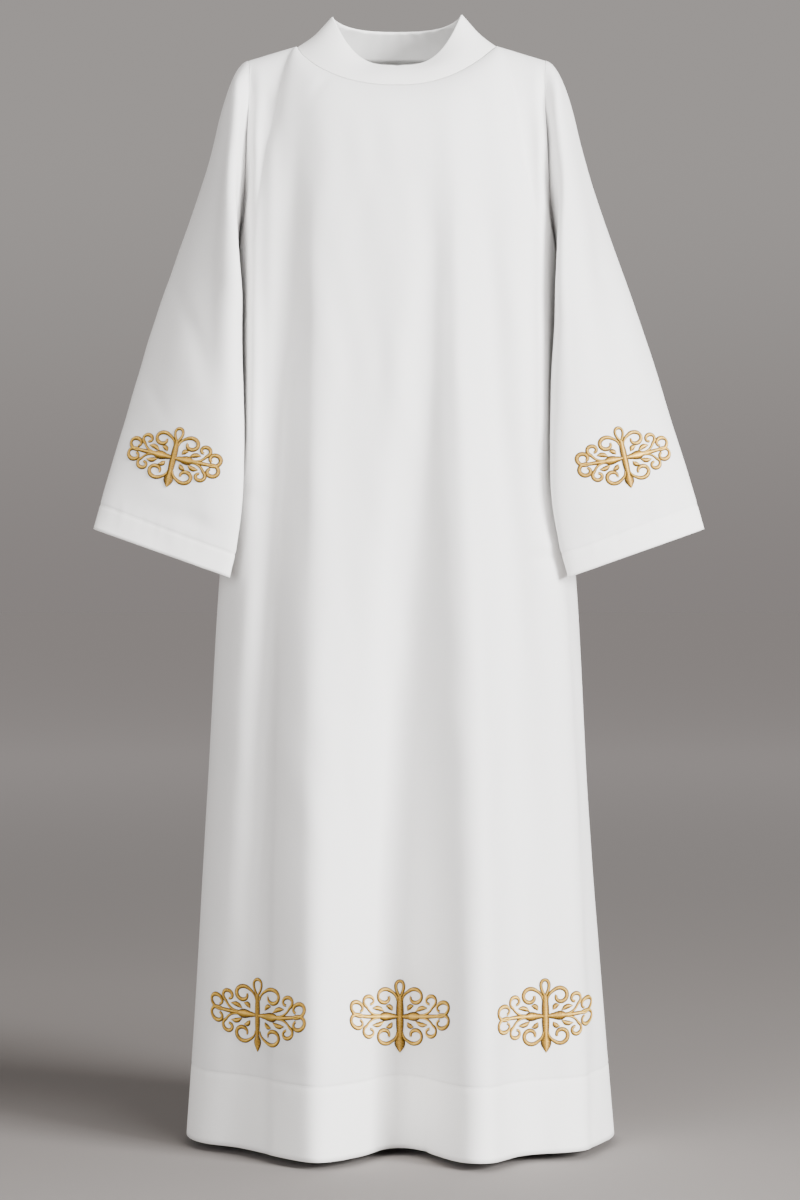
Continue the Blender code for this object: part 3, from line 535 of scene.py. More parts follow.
def sleevePoints(side):
    # rings of points down one sleeve: the cap out of the armhole, the arm, and the turned cuff
    mirror = np.array([side, 1, 1])
    clear = np.array([cloth["seamGap"], 0, 0])
    steps = np.linspace(0, 1, sleeve["halfColumns"] + 1)
    hole = np.concatenate([
        armholeLine(-1, steps[:-1]),
        [(underarm(-1) + underarm(1)) / 2],
        armholeLine(1, steps[-2:0:-1]),
    ]) + clear
    hole[0, 1] = 0
    along = shares(hole, closed=True)[:-1]
    drops = sleeve["drop"]
    upper = spread(sleeveSection(side, drops[0]), along) * mirror
    lower = spread(sleeveSection(side, drops[0] + sleeve["capProbe"]), along) * mirror
    part = 1 - np.abs(2 * along - 1)
    ahead = np.where(along < 0.5, -1, 1)
    leave = unit(np.stack([
        readTable(sleeve["capShares"], sleeve["capOut"], part),
        ahead * readTable(sleeve["capShares"], sleeve["capAhead"], part),
        -readTable(sleeve["capShares"], sleeve["capDown"], part),
    ], axis=1))
    fall = unit(upper - lower)
    span = np.linalg.norm(upper - hole, axis=1)[:, None]
    first = hole + leave * sleeve["capStart"]
    last = upper + fall * span * sleeve["capEnd"]
    ts = np.linspace(0, 1, sleeve["capRows"] + 1) ** 1.25
    rows = [bezier(hole, first, last, upper, t) * mirror for t in ts]
    levels = rowDrops(drops[0], drops[-1], sleeve["cuffBand"], sleeve["rows"], sleeve["cuffRows"])
    rows += [spread(sleeveSection(side, drop), along) for drop in levels]
    return np.array(rows), belowSeam(rows, sleeve["cuffRows"])


def squareSides(points):
    x, y, drop = points[..., 0], points[..., 1], -points[..., 2]
    level = smoothStep(*corner["begins"], drop) * (1 - smoothStep(*corner["ends"], drop))
    across = np.abs(x - corner["middle"])
    ahead = np.sign(y) * smoothStep(*corner["clear"], np.abs(y))
    full = corner["swell"] * hill((across - corner["at"]) / corner["reach"])
    back = corner["sink"] * smoothStep(*corner["turn"], across)
    points = points.copy()
    points[..., 1] += ahead * level * (full - back)
    return points


def rollInwards(points, side, near):
    # the front of the sleeve rolls in over the side of the body, unevenly on its way down
    drops, left, right = zip(*sleeve["roll"])
    pull = readTable(drops, left if side < 0 else right, -points[..., 2])
    ahead = smoothStep(*sleeve["rollAhead"], -points[..., 1])
    inner = 1 - smoothStep(*sleeve["rollInside"], points[..., 0] * side)
    points = points.copy()
    points[..., 0] -= side * pull * ahead * inner * near
    return points


def seamPuckers(points, normals, turned, seed, height, pitch):
    # a groove along the stitched line, with uneven little gathers on each side of it
    seam = int(np.argmax(turned))
    rng = np.random.default_rng(seed)
    line = points[seam]
    run = runLengths(line)
    count = int(run[-1] / pitch) + 2
    places = np.cumsum(rng.uniform(0.7, 1.3, count)) * pitch
    heights = rng.uniform(0.35, 1.0, count) * rng.choice([-1, 1], count, p=[0.65, 0.35])
    widths = rng.uniform(0.16, 0.34, count) * pitch
    gather = np.zeros_like(run)
    for place, size, width in zip(places, heights, widths):
        gather += size * hill((run - place) / width)
    down = runLengths(points.mean(axis=1))
    away = down - down[seam]
    fade = hill(away / np.where(away < 0, hemSeam["above"], hemSeam["below"]))
    groove = hill(away / hemSeam["grooveReach"])
    rise = height * fade[:, None] * gather[None, :] - hemSeam["groove"] * groove[:, None]
    return points + normals * rise[..., None]


def sinkArmhole(points, side):
    # the seam is drawn into a deep soft crease, most of all below the middle of the armhole
    steps = np.linspace(0, 1, 90)
    points = points.copy()
    near = (-points[..., 2] < armhole["lowest"]) & (points[..., 0] * side > armhole["innermost"])
    for ahead in (-1, 1):
        line = armholeLine(ahead, steps) * [side, 1, 1]
        half = near & (points[..., 1] * ahead > -armhole["past"])
        some = points[half]
        apart = np.linalg.norm(some[:, None] - line[None], axis=2)
        nearest = apart.argmin(axis=1)
        run = apart[np.arange(len(some)), nearest]
        t = steps[nearest]
        depth = armhole["creaseDepth"] * smoothStep(*armhole["creaseStart"], t)
        depth *= 1 - smoothStep(*armhole["creaseEnd"], t)
        some[:, 1] -= ahead * depth * hill(run / armhole["creaseReach"])
        points[half] = some
    return points


def sinkTop(points, normals):
    # the cloth dips where it is sewn to its neighbour
    run = np.linalg.norm(points - points[:1], axis=2)
    dip = body["seamDip"] * hill(run / body["seamDipReach"])
    return points - normals * dip[..., None]


# ---- meshes ----


def newMesh(name, points, faces, edges=()):
    mesh = bpy.data.meshes.new(name)
    mesh.from_pydata(points, list(edges), faces)
    return mesh


def addObject(name, data):
    thing = bpy.data.objects.new(name, data)
    bpy.context.scene.collection.objects.link(thing)
    return thing


def makeObject(name, mesh, material):
    thing = addObject(name, mesh)
    mesh.materials.append(material)
    mesh.shade_smooth()
    return thing


def gridMesh(name, points, closed, turned=None):
    # a sheet through rows of points, with a flat pattern in metres as its UV map
    rows, columns = points.shape[:2]
    wide = columns if closed else columns - 1
    i, j = np.meshgrid(np.arange(rows - 1), np.arange(wide), indexing="ij")
    k = (j + 1) % columns
    here, below = i * columns, (i + 1) * columns
    faces = np.stack([here + j, below + j, below + k, here + k], axis=-1)
    mesh = newMesh(name, points.reshape(-1, 3).tolist(), faces.reshape(-1, 4).tolist())
    ring = np.concatenate([points, points[:, :1]], axis=1) if closed else points
    across = np.linalg.norm(np.diff(ring, axis=1), axis=2)
    u = np.concatenate([np.zeros((rows, 1)), np.cumsum(across, axis=1)], axis=1)
    u -= u[:, -1:] / 2
    down = np.linalg.norm(np.diff(ring, axis=0), axis=2)
    v = -np.concatenate([np.zeros((1, ring.shape[1])), np.cumsum(down, axis=0)], axis=0)
    around = ((0, 0), (1, 0), (1, 1), (0, 1))
    corners = np.stack([np.stack([u[i + a, j + b], v[i + a, j + b]], -1) for a, b in around], axis=2)
    layer = mesh.uv_layers.new(name="pattern")
    layer.data.foreach_set("uv", corners.reshape(-1).astype(np.float32))
    doubled = np.ones(rows) if turned is None else turned
    ply = mesh.attributes.new("ply", "FLOAT", "POINT")
    ply.data.foreach_set("value", np.repeat(doubled.astype(np.float32), columns))
    return mesh


def faceOutwards(mesh, middle):
    score = sum((face.center - middle).dot(face.normal) * face.area for face in mesh.polygons)
    if score < 0:
        mesh.flip_normals()


def addWall(thing, name, thickness):
    # thickness on the inner side only
    solid = thing.modifiers.new(name, "SOLIDIFY")
    solid.thickness = thickness
    solid.offset = -1
    solid.use_even_offset = False
    return solid


def giveWall(thing, thin, thick, turned, columns):
    # the cloth's thickness, doubled over the turned edge
    group = thing.vertex_groups.new(name="wall")
    firstTurned = int(np.argmax(turned)) * columns
    count = len(thing.data.vertices)
    group.add(list(range(firstTurned)), thin / thick, "REPLACE")
    group.add(list(range(firstTurned, count)), 1.0, "REPLACE")
    solid = addWall(thing, "cloth", thick)
    solid.vertex_group = group.name
    solid.use_quality_normals = True


# ---- materials ----


def srgb(code):
    # linear colour from an sRGB hex value
    values = [int(code[i : i + 2], 16) / 255 for i in (0, 2, 4)]
    linear = [v / 12.92 if v <= 0.04045 else ((v + 0.055) / 1.055) ** 2.4 for v in values]
    return (*linear, 1)


def addNode(tree, kind, settings=None, values=None, links=None):
    # one node with its settings, its socket values and the links into it
    node = tree.nodes.new(kind)
    for name, value in (settings or {}).items():
        setattr(node, name, value)
    for name, value in (values or {}).items():
        node.inputs[name].default_value = value
    for name, (other, socket) in (links or {}).items():
        tree.links.new(other.outputs[socket], node.inputs[name])
    return node


def addMath(tree, operation, values=None, links=None):
    return addNode(tree, "ShaderNodeMath", {"operation": operation}, values, links)


def addNoise(tree, scale, detail, vector):
    settings = {"Scale": scale, "Detail": detail}
    return addNode(tree, "ShaderNodeTexNoise", values=settings, links={"Vector": vector})


def addRange(tree, ends, value, kind="LINEAR"):
    # ends are the lowest and highest value in, then out
    names = ("From Min", "From Max", "To Min", "To Max")
    settings = {"interpolation_type": kind}
    return addNode(tree, "ShaderNodeMapRange", settings, dict(zip(names, ends)), {"Value": value})


def addBump(tree, shader, strength, distance, height):
    settings = {"Strength": strength, "Distance": distance}
    bump = addNode(tree, "ShaderNodeBump", values=settings, links={"Height": height})
    tree.links.new(bump.outputs["Normal"], shader.inputs["Normal"])


def addBlend(tree, low, high, factor):
    # from one colour to another
    blend = addNode(tree, "ShaderNodeMix", {"data_type": "RGBA"}, links={"Factor": factor})
    blend.inputs["A"].default_value = srgb(low)
    blend.inputs["B"].default_value = srgb(high)
    return blend


def addGrain(tree, shader, colour, grain):
    # the colour, darkened by the grain
    settings = {"data_type": "RGBA", "blend_type": "MULTIPLY"}
    links = {"A": colour, "B": (grain, "Result")}
    shade = addNode(tree, "ShaderNodeMix", settings, {"Factor": 1.0}, links)
    tree.links.new(shade.outputs["Result"], shader.inputs["Base Color"])


def startMaterial(name, colour, roughness, **extra):
    material = bpy.data.materials.new(name)
    material.use_nodes = True
    shader = material.node_tree.nodes["Principled BSDF"]
    shader.inputs["Base Color"].default_value = srgb(colour)
    shader.inputs["Roughness"].default_value = roughness
    for socket, value in extra.items():
        shader.inputs[socket.replace("_", " ")].default_value = value
    material.diffuse_color = srgb(colour)
    return material, material.node_tree, shader


def clothMaterial():
    # Plain-woven polyester and cotton, bleached and pressed: matt white with a faint grain of
    # crossing threads and slubs, and whiter where the turned hem makes it double.
    material, tree, shader = startMaterial(
        "plain-woven white alb cloth", "F4F3F1", 0.88, Sheen_Weight=0.18, Sheen_Roughness=0.5
    )
    pattern = addNode(tree, "ShaderNodeUVMap", {"uv_map": "pattern"})
    split = addNode(tree, "ShaderNodeSeparateXYZ", links={"Vector": (pattern, "UV")})
    threads = []
    for axis in ("X", "Y"):
        turns = addMath(tree, "MULTIPLY", {1: 2 * math.pi / cloth["threadPitch"]}, {0: (split, axis)})
        threads.append(addMath(tree, "SINE", links={0: (turns, 0)}))
    weave = addMath(tree, "MULTIPLY", links={0: (threads[0], 0), 1: (threads[1], 0)})
    slubs = []
    for size in ((60, 900, 1), (900, 60, 1)):
        links = {"Vector": (pattern, "UV")}
        stretch = addNode(tree, "ShaderNodeMapping", values={"Scale": size}, links=links)
        slubs.append(addNoise(tree, 1.0, 2.0, (stretch, "Vector")))
    slub = addMath(tree, "ADD", links={0: (slubs[0], "Fac"), 1: (slubs[1], "Fac")})
    height = addMath(tree, "MULTIPLY_ADD", {1: 0.35}, {0: (weave, 0), 2: (slub, 0)})
    addBump(tree, shader, 0.35, 0.00012, (height, 0))
    ply = addNode(tree, "ShaderNodeAttribute", {"attribute_name": "ply"})
    tone = addBlend(tree, "EFEEED", "F8F7F5", (ply, "Fac"))
    grain = addRange(tree, (0.6, 1.4, 0.965, 1.0), (slub, 0))
    addGrain(tree, shader, (tone, "Result"), grain)
    return material


def goldMaterial(name, edge, middle, paintedHighlight, roughness):
    # Rayon embroidery thread laid in satin stitch, its colour painted with light and shade: a painted
    # highlight where each thread arches over the padding, and painted shade, a brown gold, where it dives
    # into the cloth at both ends. The middle colour is the thread's own gold.
    material, tree, shader = startMaterial(name, middle, roughness, Metallic=0.5)
    strand = addNode(tree, "ShaderNodeUVMap", {"uv_map": "strand"})
    split = addNode(tree, "ShaderNodeSeparateXYZ", links={"Vector": (strand, "UV")})
    # along each thread: painted shade at both ends, the thread's own gold between, and a painted highlight
    # at the top of its arch
    ramp = addNode(tree, "ShaderNodeValToRGB", links={"Fac": (split, "X")})
    stops = ramp.color_ramp.elements
    stops[0].position, stops[0].color = 0.0, srgb(edge)
    stops[1].position, stops[1].color = 1.0, srgb(edge)
    for place, code in ((0.24, middle), (0.5, paintedHighlight), (0.76, middle)):
        stops.new(place).color = srgb(code)
    where = addNode(tree, "ShaderNodeTexCoord")
    fibre = addNoise(tree, 900.0, 2.0, (where, "Object"))
    grain = addRange(tree, (0.3, 0.7, 0.82, 1.08), (fibre, "Fac"))
    addGrain(tree, shader, (ramp, "Color"), grain)
    return material


def threadMaterial():
    # Spun polyester sewing thread, a shade warmer than the cloth so that its line just shows
    material, tree, shader = startMaterial("white spun sewing thread", "F1F0ED", 0.7, Sheen_Weight=0.2)
    where = addNode(tree, "ShaderNodeTexCoord")
    twist = addNoise(tree, 2500.0, 1.0, (where, "Object"))
    addBump(tree, shader, 0.3, 0.0001, (twist, "Fac"))
    return material


def floorMaterial():
    # Matt paint with painted light: darker round the robe, a painted shade where the lamps light it most,
    # and paler far away, a painted light where only the room lights it, so that it meets the room evenly
    material, tree, shader = startMaterial("studio floor with painted light falloff", "95918E", 0.9)
    where = addNode(tree, "ShaderNodeTexCoord")
    away = addNode(tree, "ShaderNodeVectorMath", {"operation": "LENGTH"}, links={0: (where, "Object")})
    far = addRange(tree, (1.0, 12.0), (away, "Value"), "SMOOTHSTEP")
    # the near colour is painted shade and the far colour painted light
    tone = addBlend(tree, "787370", "D5D2D2", (far, "Result"))
    tree.links.new(tone.outputs["Result"], shader.inputs["Base Color"])
    return material


albCloth = clothMaterial()
# the dark ends and the pale middle of each thread are painted shade and a painted highlight
goldThread = goldMaterial("gold rayon embroidery thread", "5E4612", "C99A3A", "F9D26A", 0.40)
# the padding's dark brown gold, which shows as dark rims along each stroke and is darkest at its sides, is
# painted shade
paddingPaintedShade = goldMaterial("padding thread painted dark as shade", "44310C", "6E5218", "6E5218", 0.6)
sewingThread = threadMaterial()
print("materials made")


# ---- the garment ----


def makePanel(name, side, creases, dents, seed):
    points, turned = panelPoints(side)
    normals = gridNormals(points, closed=False)
    fromTop, fromSides = body["calm"]
    near = smoothStep(0.0, fromTop, np.linalg.norm(points - points[:1], axis=2))
    for edge in (points[:, :1], points[:, -1:]):
        near = near * smoothStep(0.0, fromSides, np.linalg.norm(points - edge, axis=2))
    rise = creaseRise(points, creases) + dentRise(points, dents) + gentleWaves(points, seed, body["waves"])
    points = points + normals * (rise * near)[..., None]
    points = squareSides(sinkArmhole(sinkArmhole(points, -1), 1))
    normals = gridNormals(points, closed=False)
    points = seamPuckers(points, normals, turned, seed + 1, *body["puckers"])
    points = sinkTop(points, normals)
    mesh = gridMesh(name, points, closed=False, turned=turned)
    faceOutwards(mesh, Vector((0, 0, -body["length"] / 2)))
    thing = makeObject(name, mesh, albCloth)
    giveWall(thing, cloth["wall"], cloth["turned"], turned, points.shape[1])
    return thing, points, turned


def makeSleeve(name, side, seed):
    points, turned = sleevePoints(side)
    normals = gridNormals(points, closed=True)
    near = smoothStep(0.0, sleeve["calm"], np.linalg.norm(points - points[:1], axis=2))
    forward = smoothStep(*sleeve["facing"], -normals[..., 1])
    behind = smoothStep(*sleeve["facing"], normals[..., 1])
    rise = forward * (creaseRise(points, sleeveCreases[side]) + dentRise(points, sleeveDents[side]))
    rise += behind * (creaseRise(points, sleeveBackCreases[side]) + dentRise(points, sleeveBackDents[side]))
    rise += gentleWaves(points, seed, sleeve["waves"])
    points = rollInwards(points + normals * (rise * near)[..., None], side, near)
    points = sinkArmhole(points, side)
    normals = gridNormals(points, closed=True)
    points = seamPuckers(points, normals, turned, seed + 1, *sleeve["puckers"])
    mesh = gridMesh(name, points, closed=True, turned=turned)
    faceOutwards(mesh, Vector(points.reshape(-1, 3).mean(axis=0)))
    thing = makeObject(name, mesh, albCloth)
    giveWall(thing, cloth["wall"], cloth["turned"], turned, points.shape[1])
    return thing, points, turned


def apartBy(degrees, place):
    return (degrees - place + 180) % 360 - 180


def makeCollar():
    turn = np.linspace(0, 2 * math.pi, collar["columns"], endpoint=False)
    ahead, aside = np.cos(turn), np.sin(turn)
    inFront = ahead > 0
    base = neckSeam(aside, ahead)
    low, high = np.where(inFront, collar["frontRise"], collar["backRise"]), collar["sideRise"]
    lift = low + (high - low) * np.where(inFront, np.abs(aside) ** collar["scoop"], aside**4)
    lift = lift + collar["tilt"] * aside**5
    bulge = collar["bulge"] * (1 - 2 * aside**6)
    reach = np.where(inFront, collar["front"], collar["back"])
    rim = np.stack([collar["halfWidth"] * aside, -reach * ahead, lift], axis=1)
    rise = unit(rim - base)
    outward = unit(np.cross(np.roll(base, -1, axis=0) - np.roll(base, 1, axis=0), rise))
    base = base - rise * cloth["seamGap"]
    half = collar["thick"] / 2
    degrees = (np.degrees(turn) + 180) % 360 - 180
    puckers = np.zeros_like(turn)
    for place in innerPuckers:
        puckers += collar["puckerDepth"] * hill(apartBy(degrees, place) / collar["puckerReach"])
    rows = []
    for t in collar["outerRows"]:
        soft = bulge * math.sin(math.pi * t)
        for place, level, reach, levelReach, height in collarDents.values():
            near = apartBy(degrees, place) / reach
            dent = np.exp(-(near**2) - ((t - level) / levelReach) ** 2)
            soft += 0.001 * height * dent * min(t * 6, 1)
        rows.append(base + (rim - base) * t + outward * soft[:, None])
    edgeShift = rows[-1] - rim
    crown = rim - outward * half + edgeShift
    for angle in collar["edgeTurns"]:
        way = math.radians(angle)
        rows.append(crown + outward * half * math.cos(way) + rise * half * math.sin(way))
    for t in collar["innerRows"]:
        fade = math.sin(math.pi * min(t + 0.1, 1) * 0.75)
        inner = bulge * math.sin(math.pi * t) - collar["thick"] - puckers * fade
        rows.append(base + (rim - base) * t + outward * inner[:, None] + edgeShift * t**3)
    points = np.array(rows)
    mesh = gridMesh("collar_cloth", points, closed=True)
    top = max(mesh.vertices, key=lambda vertex: vertex.co.z)
    if top.normal.z < 0:
        mesh.flip_normals()
    thing = makeObject("collar_cloth", mesh, albCloth)
    addWall(thing, "cloth", collar["ply"])
    return thing, points


front, frontPoints, frontTurned = makePanel("front_cloth", -1, frontCreases, frontDents, 11)
back, backPoints, backTurned = makePanel("back_cloth", 1, backCreases, backDents, 23)
sleeves = {-1: makeSleeve("sleeve_left_cloth", -1, 37), 1: makeSleeve("sleeve_right_cloth", 1, 41)}
collarPiece, collarPoints = makeCollar()
print("cloth made")


# ---- stitches and embroidery, laid along paths ----


def mapStrand(mesh, uvs):
    # u runs from one end of a thread to the other
    layer = mesh.uv_layers.new(name="strand")
    for loop in mesh.loops:
        layer.data[loop.index].uv = uvs[loop.vertex_index]


def strandMesh(name, segments, sides, material):
    # one thread from end to end: it dives in at both ends and arches between
    points, uvs, faces = [], [], []
    for i in range(segments + 1):
        t = i / segments
        x = t - 0.5
        top = 1 - (2 * x) ** 2
        girth = 0.45 + 0.55 * math.sin(math.pi * t) ** 0.5
        for j in range(sides):
            angle = 2 * math.pi * j / sides + math.pi / 2
            points.append((x, 0.5 * girth * math.cos(angle), top + 0.30 * girth * math.sin(angle)))
            uvs.append((t, j / sides))
    for i in range(segments):
        for j in range(sides):
            k = (j + 1) % sides
            faces.append((i * sides + j, i * sides + k, (i + 1) * sides + k, (i + 1) * sides + j))
    faces.append(tuple(range(sides))[::-1])
    faces.append(tuple(segments * sides + j for j in range(sides)))
    mesh = newMesh(name, points, faces)
    mapStrand(mesh, uvs)
    thing = makeObject(name, mesh, material)
    thing.hide_render = True
    return thing


def stitchTree(name):
    # lays one thread at every pitch along a path, turned by the slant and as long as the path's
    # own "broad" says, with a little unevenness from a fixed seed
    tree = bpy.data.node_groups.new(name, "GeometryNodeTree")
    sockets = {
        "Geometry": "Geometry", "Pitch": "Float", "Slant": "Float", "Thread Width": "Float",
        "Rise": "Float", "Rise Share": "Float", "Unevenness": "Float", "Seed": "Int",
        "Strand": "Object", "Thread": "Material",
    }
    ins = {}
    for label, kind in sockets.items():
        socket = tree.interface.new_socket(label, in_out="INPUT", socket_type="NodeSocket" + kind)
        ins[label] = socket.identifier
    tree.interface.new_socket("Geometry", in_out="OUTPUT", socket_type="NodeSocketGeometry")

    def step(kind, settings=None, values=None, **links):
        named = {name.replace("_", " "): link for name, link in links.items()}
        return addNode(tree, kind, settings, values, named)

    given = step("NodeGroupInput")
    path = step("GeometryNodeMeshToCurve", Mesh=(given, "Geometry"))
    byLength = {"mode": "LENGTH"}
    even = step("GeometryNodeResampleCurve", byLength, Curve=(path, "Curve"), Length=(given, "Pitch"))
    outward = step("GeometryNodeInputNamedAttribute", {"data_type": "FLOAT_VECTOR"}, {"Name": "outward"})
    broad = step("GeometryNodeInputNamedAttribute", {"data_type": "FLOAT"}, {"Name": "broad"})
    way = step("GeometryNodeInputTangent")
    align = "FunctionNodeAlignRotationToVector"
    upright = step(align, {"axis": "Z"}, Vector=(outward, "Attribute"))
    about = {"axis": "X", "pivot_axis": "Z"}
    along = step(align, about, Rotation=(upright, "Rotation"), Vector=(way, "Tangent"))
    jitter = step("FunctionNodeRandomValue", {"data_type": "FLOAT"}, Seed=(given, "Seed"))
    bothWays = addMath(tree, "MULTIPLY_ADD", {1: 2.0, 2: -1.0}, {0: (jitter, 1)})
    links = {0: (bothWays, 0), 1: (given, "Unevenness"), 2: (given, "Slant")}
    wobble = addMath(tree, "MULTIPLY_ADD", links=links)
    spin = step("ShaderNodeCombineXYZ", Z=(wobble, 0))
    spinRotation = step("FunctionNodeEulerToRotation", Euler=(spin, "Vector"))
    here = {"rotation_space": "LOCAL"}
    turned = step(
        "FunctionNodeRotateRotation", here,
        Rotation=(along, "Rotation"), Rotate_By=(spinRotation, "Rotation"),
    )
    links = {0: (broad, "Attribute"), 1: (given, "Rise Share"), 2: (given, "Rise")}
    rise = addMath(tree, "MULTIPLY_ADD", links=links)
    size = step("ShaderNodeCombineXYZ", X=(broad, "Attribute"), Y=(given, "Thread Width"), Z=(rise, 0))
    source = step("GeometryNodeObjectInfo", {"transform_space": "ORIGINAL"}, Object=(given, "Strand"))
    laid = step(
        "GeometryNodeInstanceOnPoints", Points=(even, "Curve"), Instance=(source, "Geometry"),
        Rotation=(turned, "Rotation"), Scale=(size, "Vector"),
    )
    real = step("GeometryNodeRealizeInstances", Geometry=(laid, "Instances"))
    smooth = step("GeometryNodeSetShadeSmooth", Geometry=(real, "Geometry"))
    coat = step("GeometryNodeSetMaterial", Geometry=(smooth, "Geometry"), Material=(given, "Thread"))
    step("NodeGroupOutput", Geometry=(coat, "Geometry"))
    return tree, ins


def pathObject(name, paths):
    # paths are (points, outward, broad); the object is only edges, for the stitches to follow
    points, outward, broad, edges = [], [], [], []
    for line, normals, widths in paths:
        first = len(points)
        points += [tuple(p) for p in line]
        outward += [tuple(n) for n in normals]
        broad += list(widths)
        edges += [(first + i, first + i + 1) for i in range(len(line) - 1)]
    mesh = newMesh(name, points, [], edges)
    facing = mesh.attributes.new("outward", "FLOAT_VECTOR", "POINT")
    facing.data.foreach_set("vector", np.array(outward, np.float32).reshape(-1))
    width = mesh.attributes.new("broad", "FLOAT", "POINT")
    width.data.foreach_set("value", np.array(broad, np.float32))
    return addObject(name, mesh)


def layStitches(name, paths, strand, material, sizes):
    tree, ins = stitches
    guide = pathObject(name + "_path", paths)
    modifier = guide.modifiers.new("stitches", "NODES")
    modifier.node_group = tree
    for label, value in {**sizes, "Strand": strand, "Thread": material}.items():
        modifier[ins[label]] = value
    seen = guide.evaluated_get(bpy.context.evaluated_depsgraph_get())
    mesh = bpy.data.meshes.new_from_object(seen)
    mesh.name = name
    thing = addObject(name, mesh)
    bpy.data.objects.remove(guide, do_unlink=True)
    return thing


stitches = stitchTree("lay stitches")
sewingStrand = strandMesh("sewing_strand", 4, 4, sewingThread)
satinStrand = strandMesh("satin_strand", 6, 3, goldThread)


def seamPath(points, turned, closed):
    # the stitched line along the top of a turned edge
    row = int(np.argmax(turned))
    normals = gridNormals(points, closed)[row]
    line = points[row]
    if closed:
        line = np.concatenate([line, line[:1]])
        normals = np.concatenate([normals, normals[:1]])
    return line, normals, np.full(len(line), hemSeam["stitch"] * 0.86)


def makeSeamStitches(name, points, turned, closed):
    sizes = {
        "Pitch": hemSeam["stitch"], "Thread Width": hemSeam["thread"], "Rise": hemSeam["rise"],
        "Rise Share": 0.0, "Slant": 0.0, "Unevenness": 0.04, "Seed": 3,
    }
    return layStitches(name, [seamPath(points, turned, closed)], sewingStrand, sewingThread, sizes)


seamPieces = {
    "front": makeSeamStitches("hem_stitches_front", frontPoints, frontTurned, False),
    "back": makeSeamStitches("hem_stitches_back", backPoints, backTurned, False),
    "left": makeSeamStitches("cuff_stitches_left", sleeves[-1][1], sleeves[-1][2], True),
    "right": makeSeamStitches("cuff_stitches_right", sleeves[1][1], sleeves[1][2], True),
}
print("seams stitched")


def curved(*points, count=30):
    # a smooth line through a few points
    points = np.array(points, float)
    along = runLengths(points)
    at = np.linspace(0, along[-1], count)
    if len(points) == 2:
        return np.stack([np.interp(at, along, points[:, i]) for i in range(2)], axis=1)
    return np.stack([naturalCurve(along, points[:, i], at) for i in range(2)], axis=1)


def naturalCurve(levels, values, at):
    # cubic through every value with even bending
    n = len(levels)
    h = np.diff(levels)
    system, right = np.eye(n), np.zeros(n)
    for i in range(1, n - 1):
        system[i, i - 1 : i + 2] = h[i - 1], 2 * (h[i - 1] + h[i]), h[i]
        right[i] = 6 * ((values[i + 1] - values[i]) / h[i] - (values[i] - values[i - 1]) / h[i - 1])
    bend = np.linalg.solve(system, right)
    i = np.clip(np.searchsorted(levels, at, side="right") - 1, 0, n - 2)
    a, b = levels[i + 1] - at, at - levels[i]
    return (
        (bend[i] * a**3 + bend[i + 1] * b**3) / (6 * h[i])
        + (values[i] / h[i] - bend[i] * h[i] / 6) * a
        + (values[i + 1] / h[i] - bend[i + 1] * h[i] / 6) * b
    )


def scroll(middle, radii, angles, count=72):
    # a spiral whose radius follows a short table along its turn
    steps = np.linspace(0, 1, count)
    angle = np.radians(angles[0] + (angles[1] - angles[0]) * steps)
    radius = readTable(np.linspace(0, 1, len(radii)), radii, steps)
    return np.stack([middle[0] + radius * np.cos(angle), middle[1] + radius * np.sin(angle)], axis=1)


# A traditional church ornament: a cross with tapered arms among scrolls and leaves, in
# millimetres. One quarter is worked out from the proportions below and mirrored to all four.
ornament = {
    "halfWide": 57.0, "halfTall": 27.0,  # the ellipse on which the scrolls are centred
    # each scroll's place round the ellipse in degrees, its radius, its turn in degrees and its
    # stroke's width, with the point on the upright or the arm that it springs from
    "scrolls": (
        (70, 9.5, -385, 4.4, (3.0, 20.0)),
        (46, 7.0, 380, 4.0, (27.0, 2.0)),
        (19, 8.5, 370, 4.4, (45.0, 1.0)),
    ),
    "winding": (1.0, 0.95, 0.86, 0.72, 0.52),
    "leaves": ((0.34, 0.60, 5.0), (0.44, 0.74, 4.8)),  # from and to, as shares of the ellipse, and width
    "leafBow": 2.0, "reach": 25.0, "tip": 46.0, "loopWide": 10.6,
}


def onEllipse(degrees, share=1.0):
    angle = math.radians(degrees)
    wide, tall = ornament["halfWide"], ornament["halfTall"]
    return share * np.array([wide * math.cos(angle), tall * math.sin(angle)])


def loopPath(low, high, wide, count=64):
    # an open loop, pointed where it leaves the upright
    turn = np.linspace(0, 2 * math.pi, count)
    up = 0.5 - 0.5 * np.cos(turn)
    return np.stack([wide / 2 * np.sin(turn) * up**0.5 * 1.3, low + (high - low) * up], axis=1)


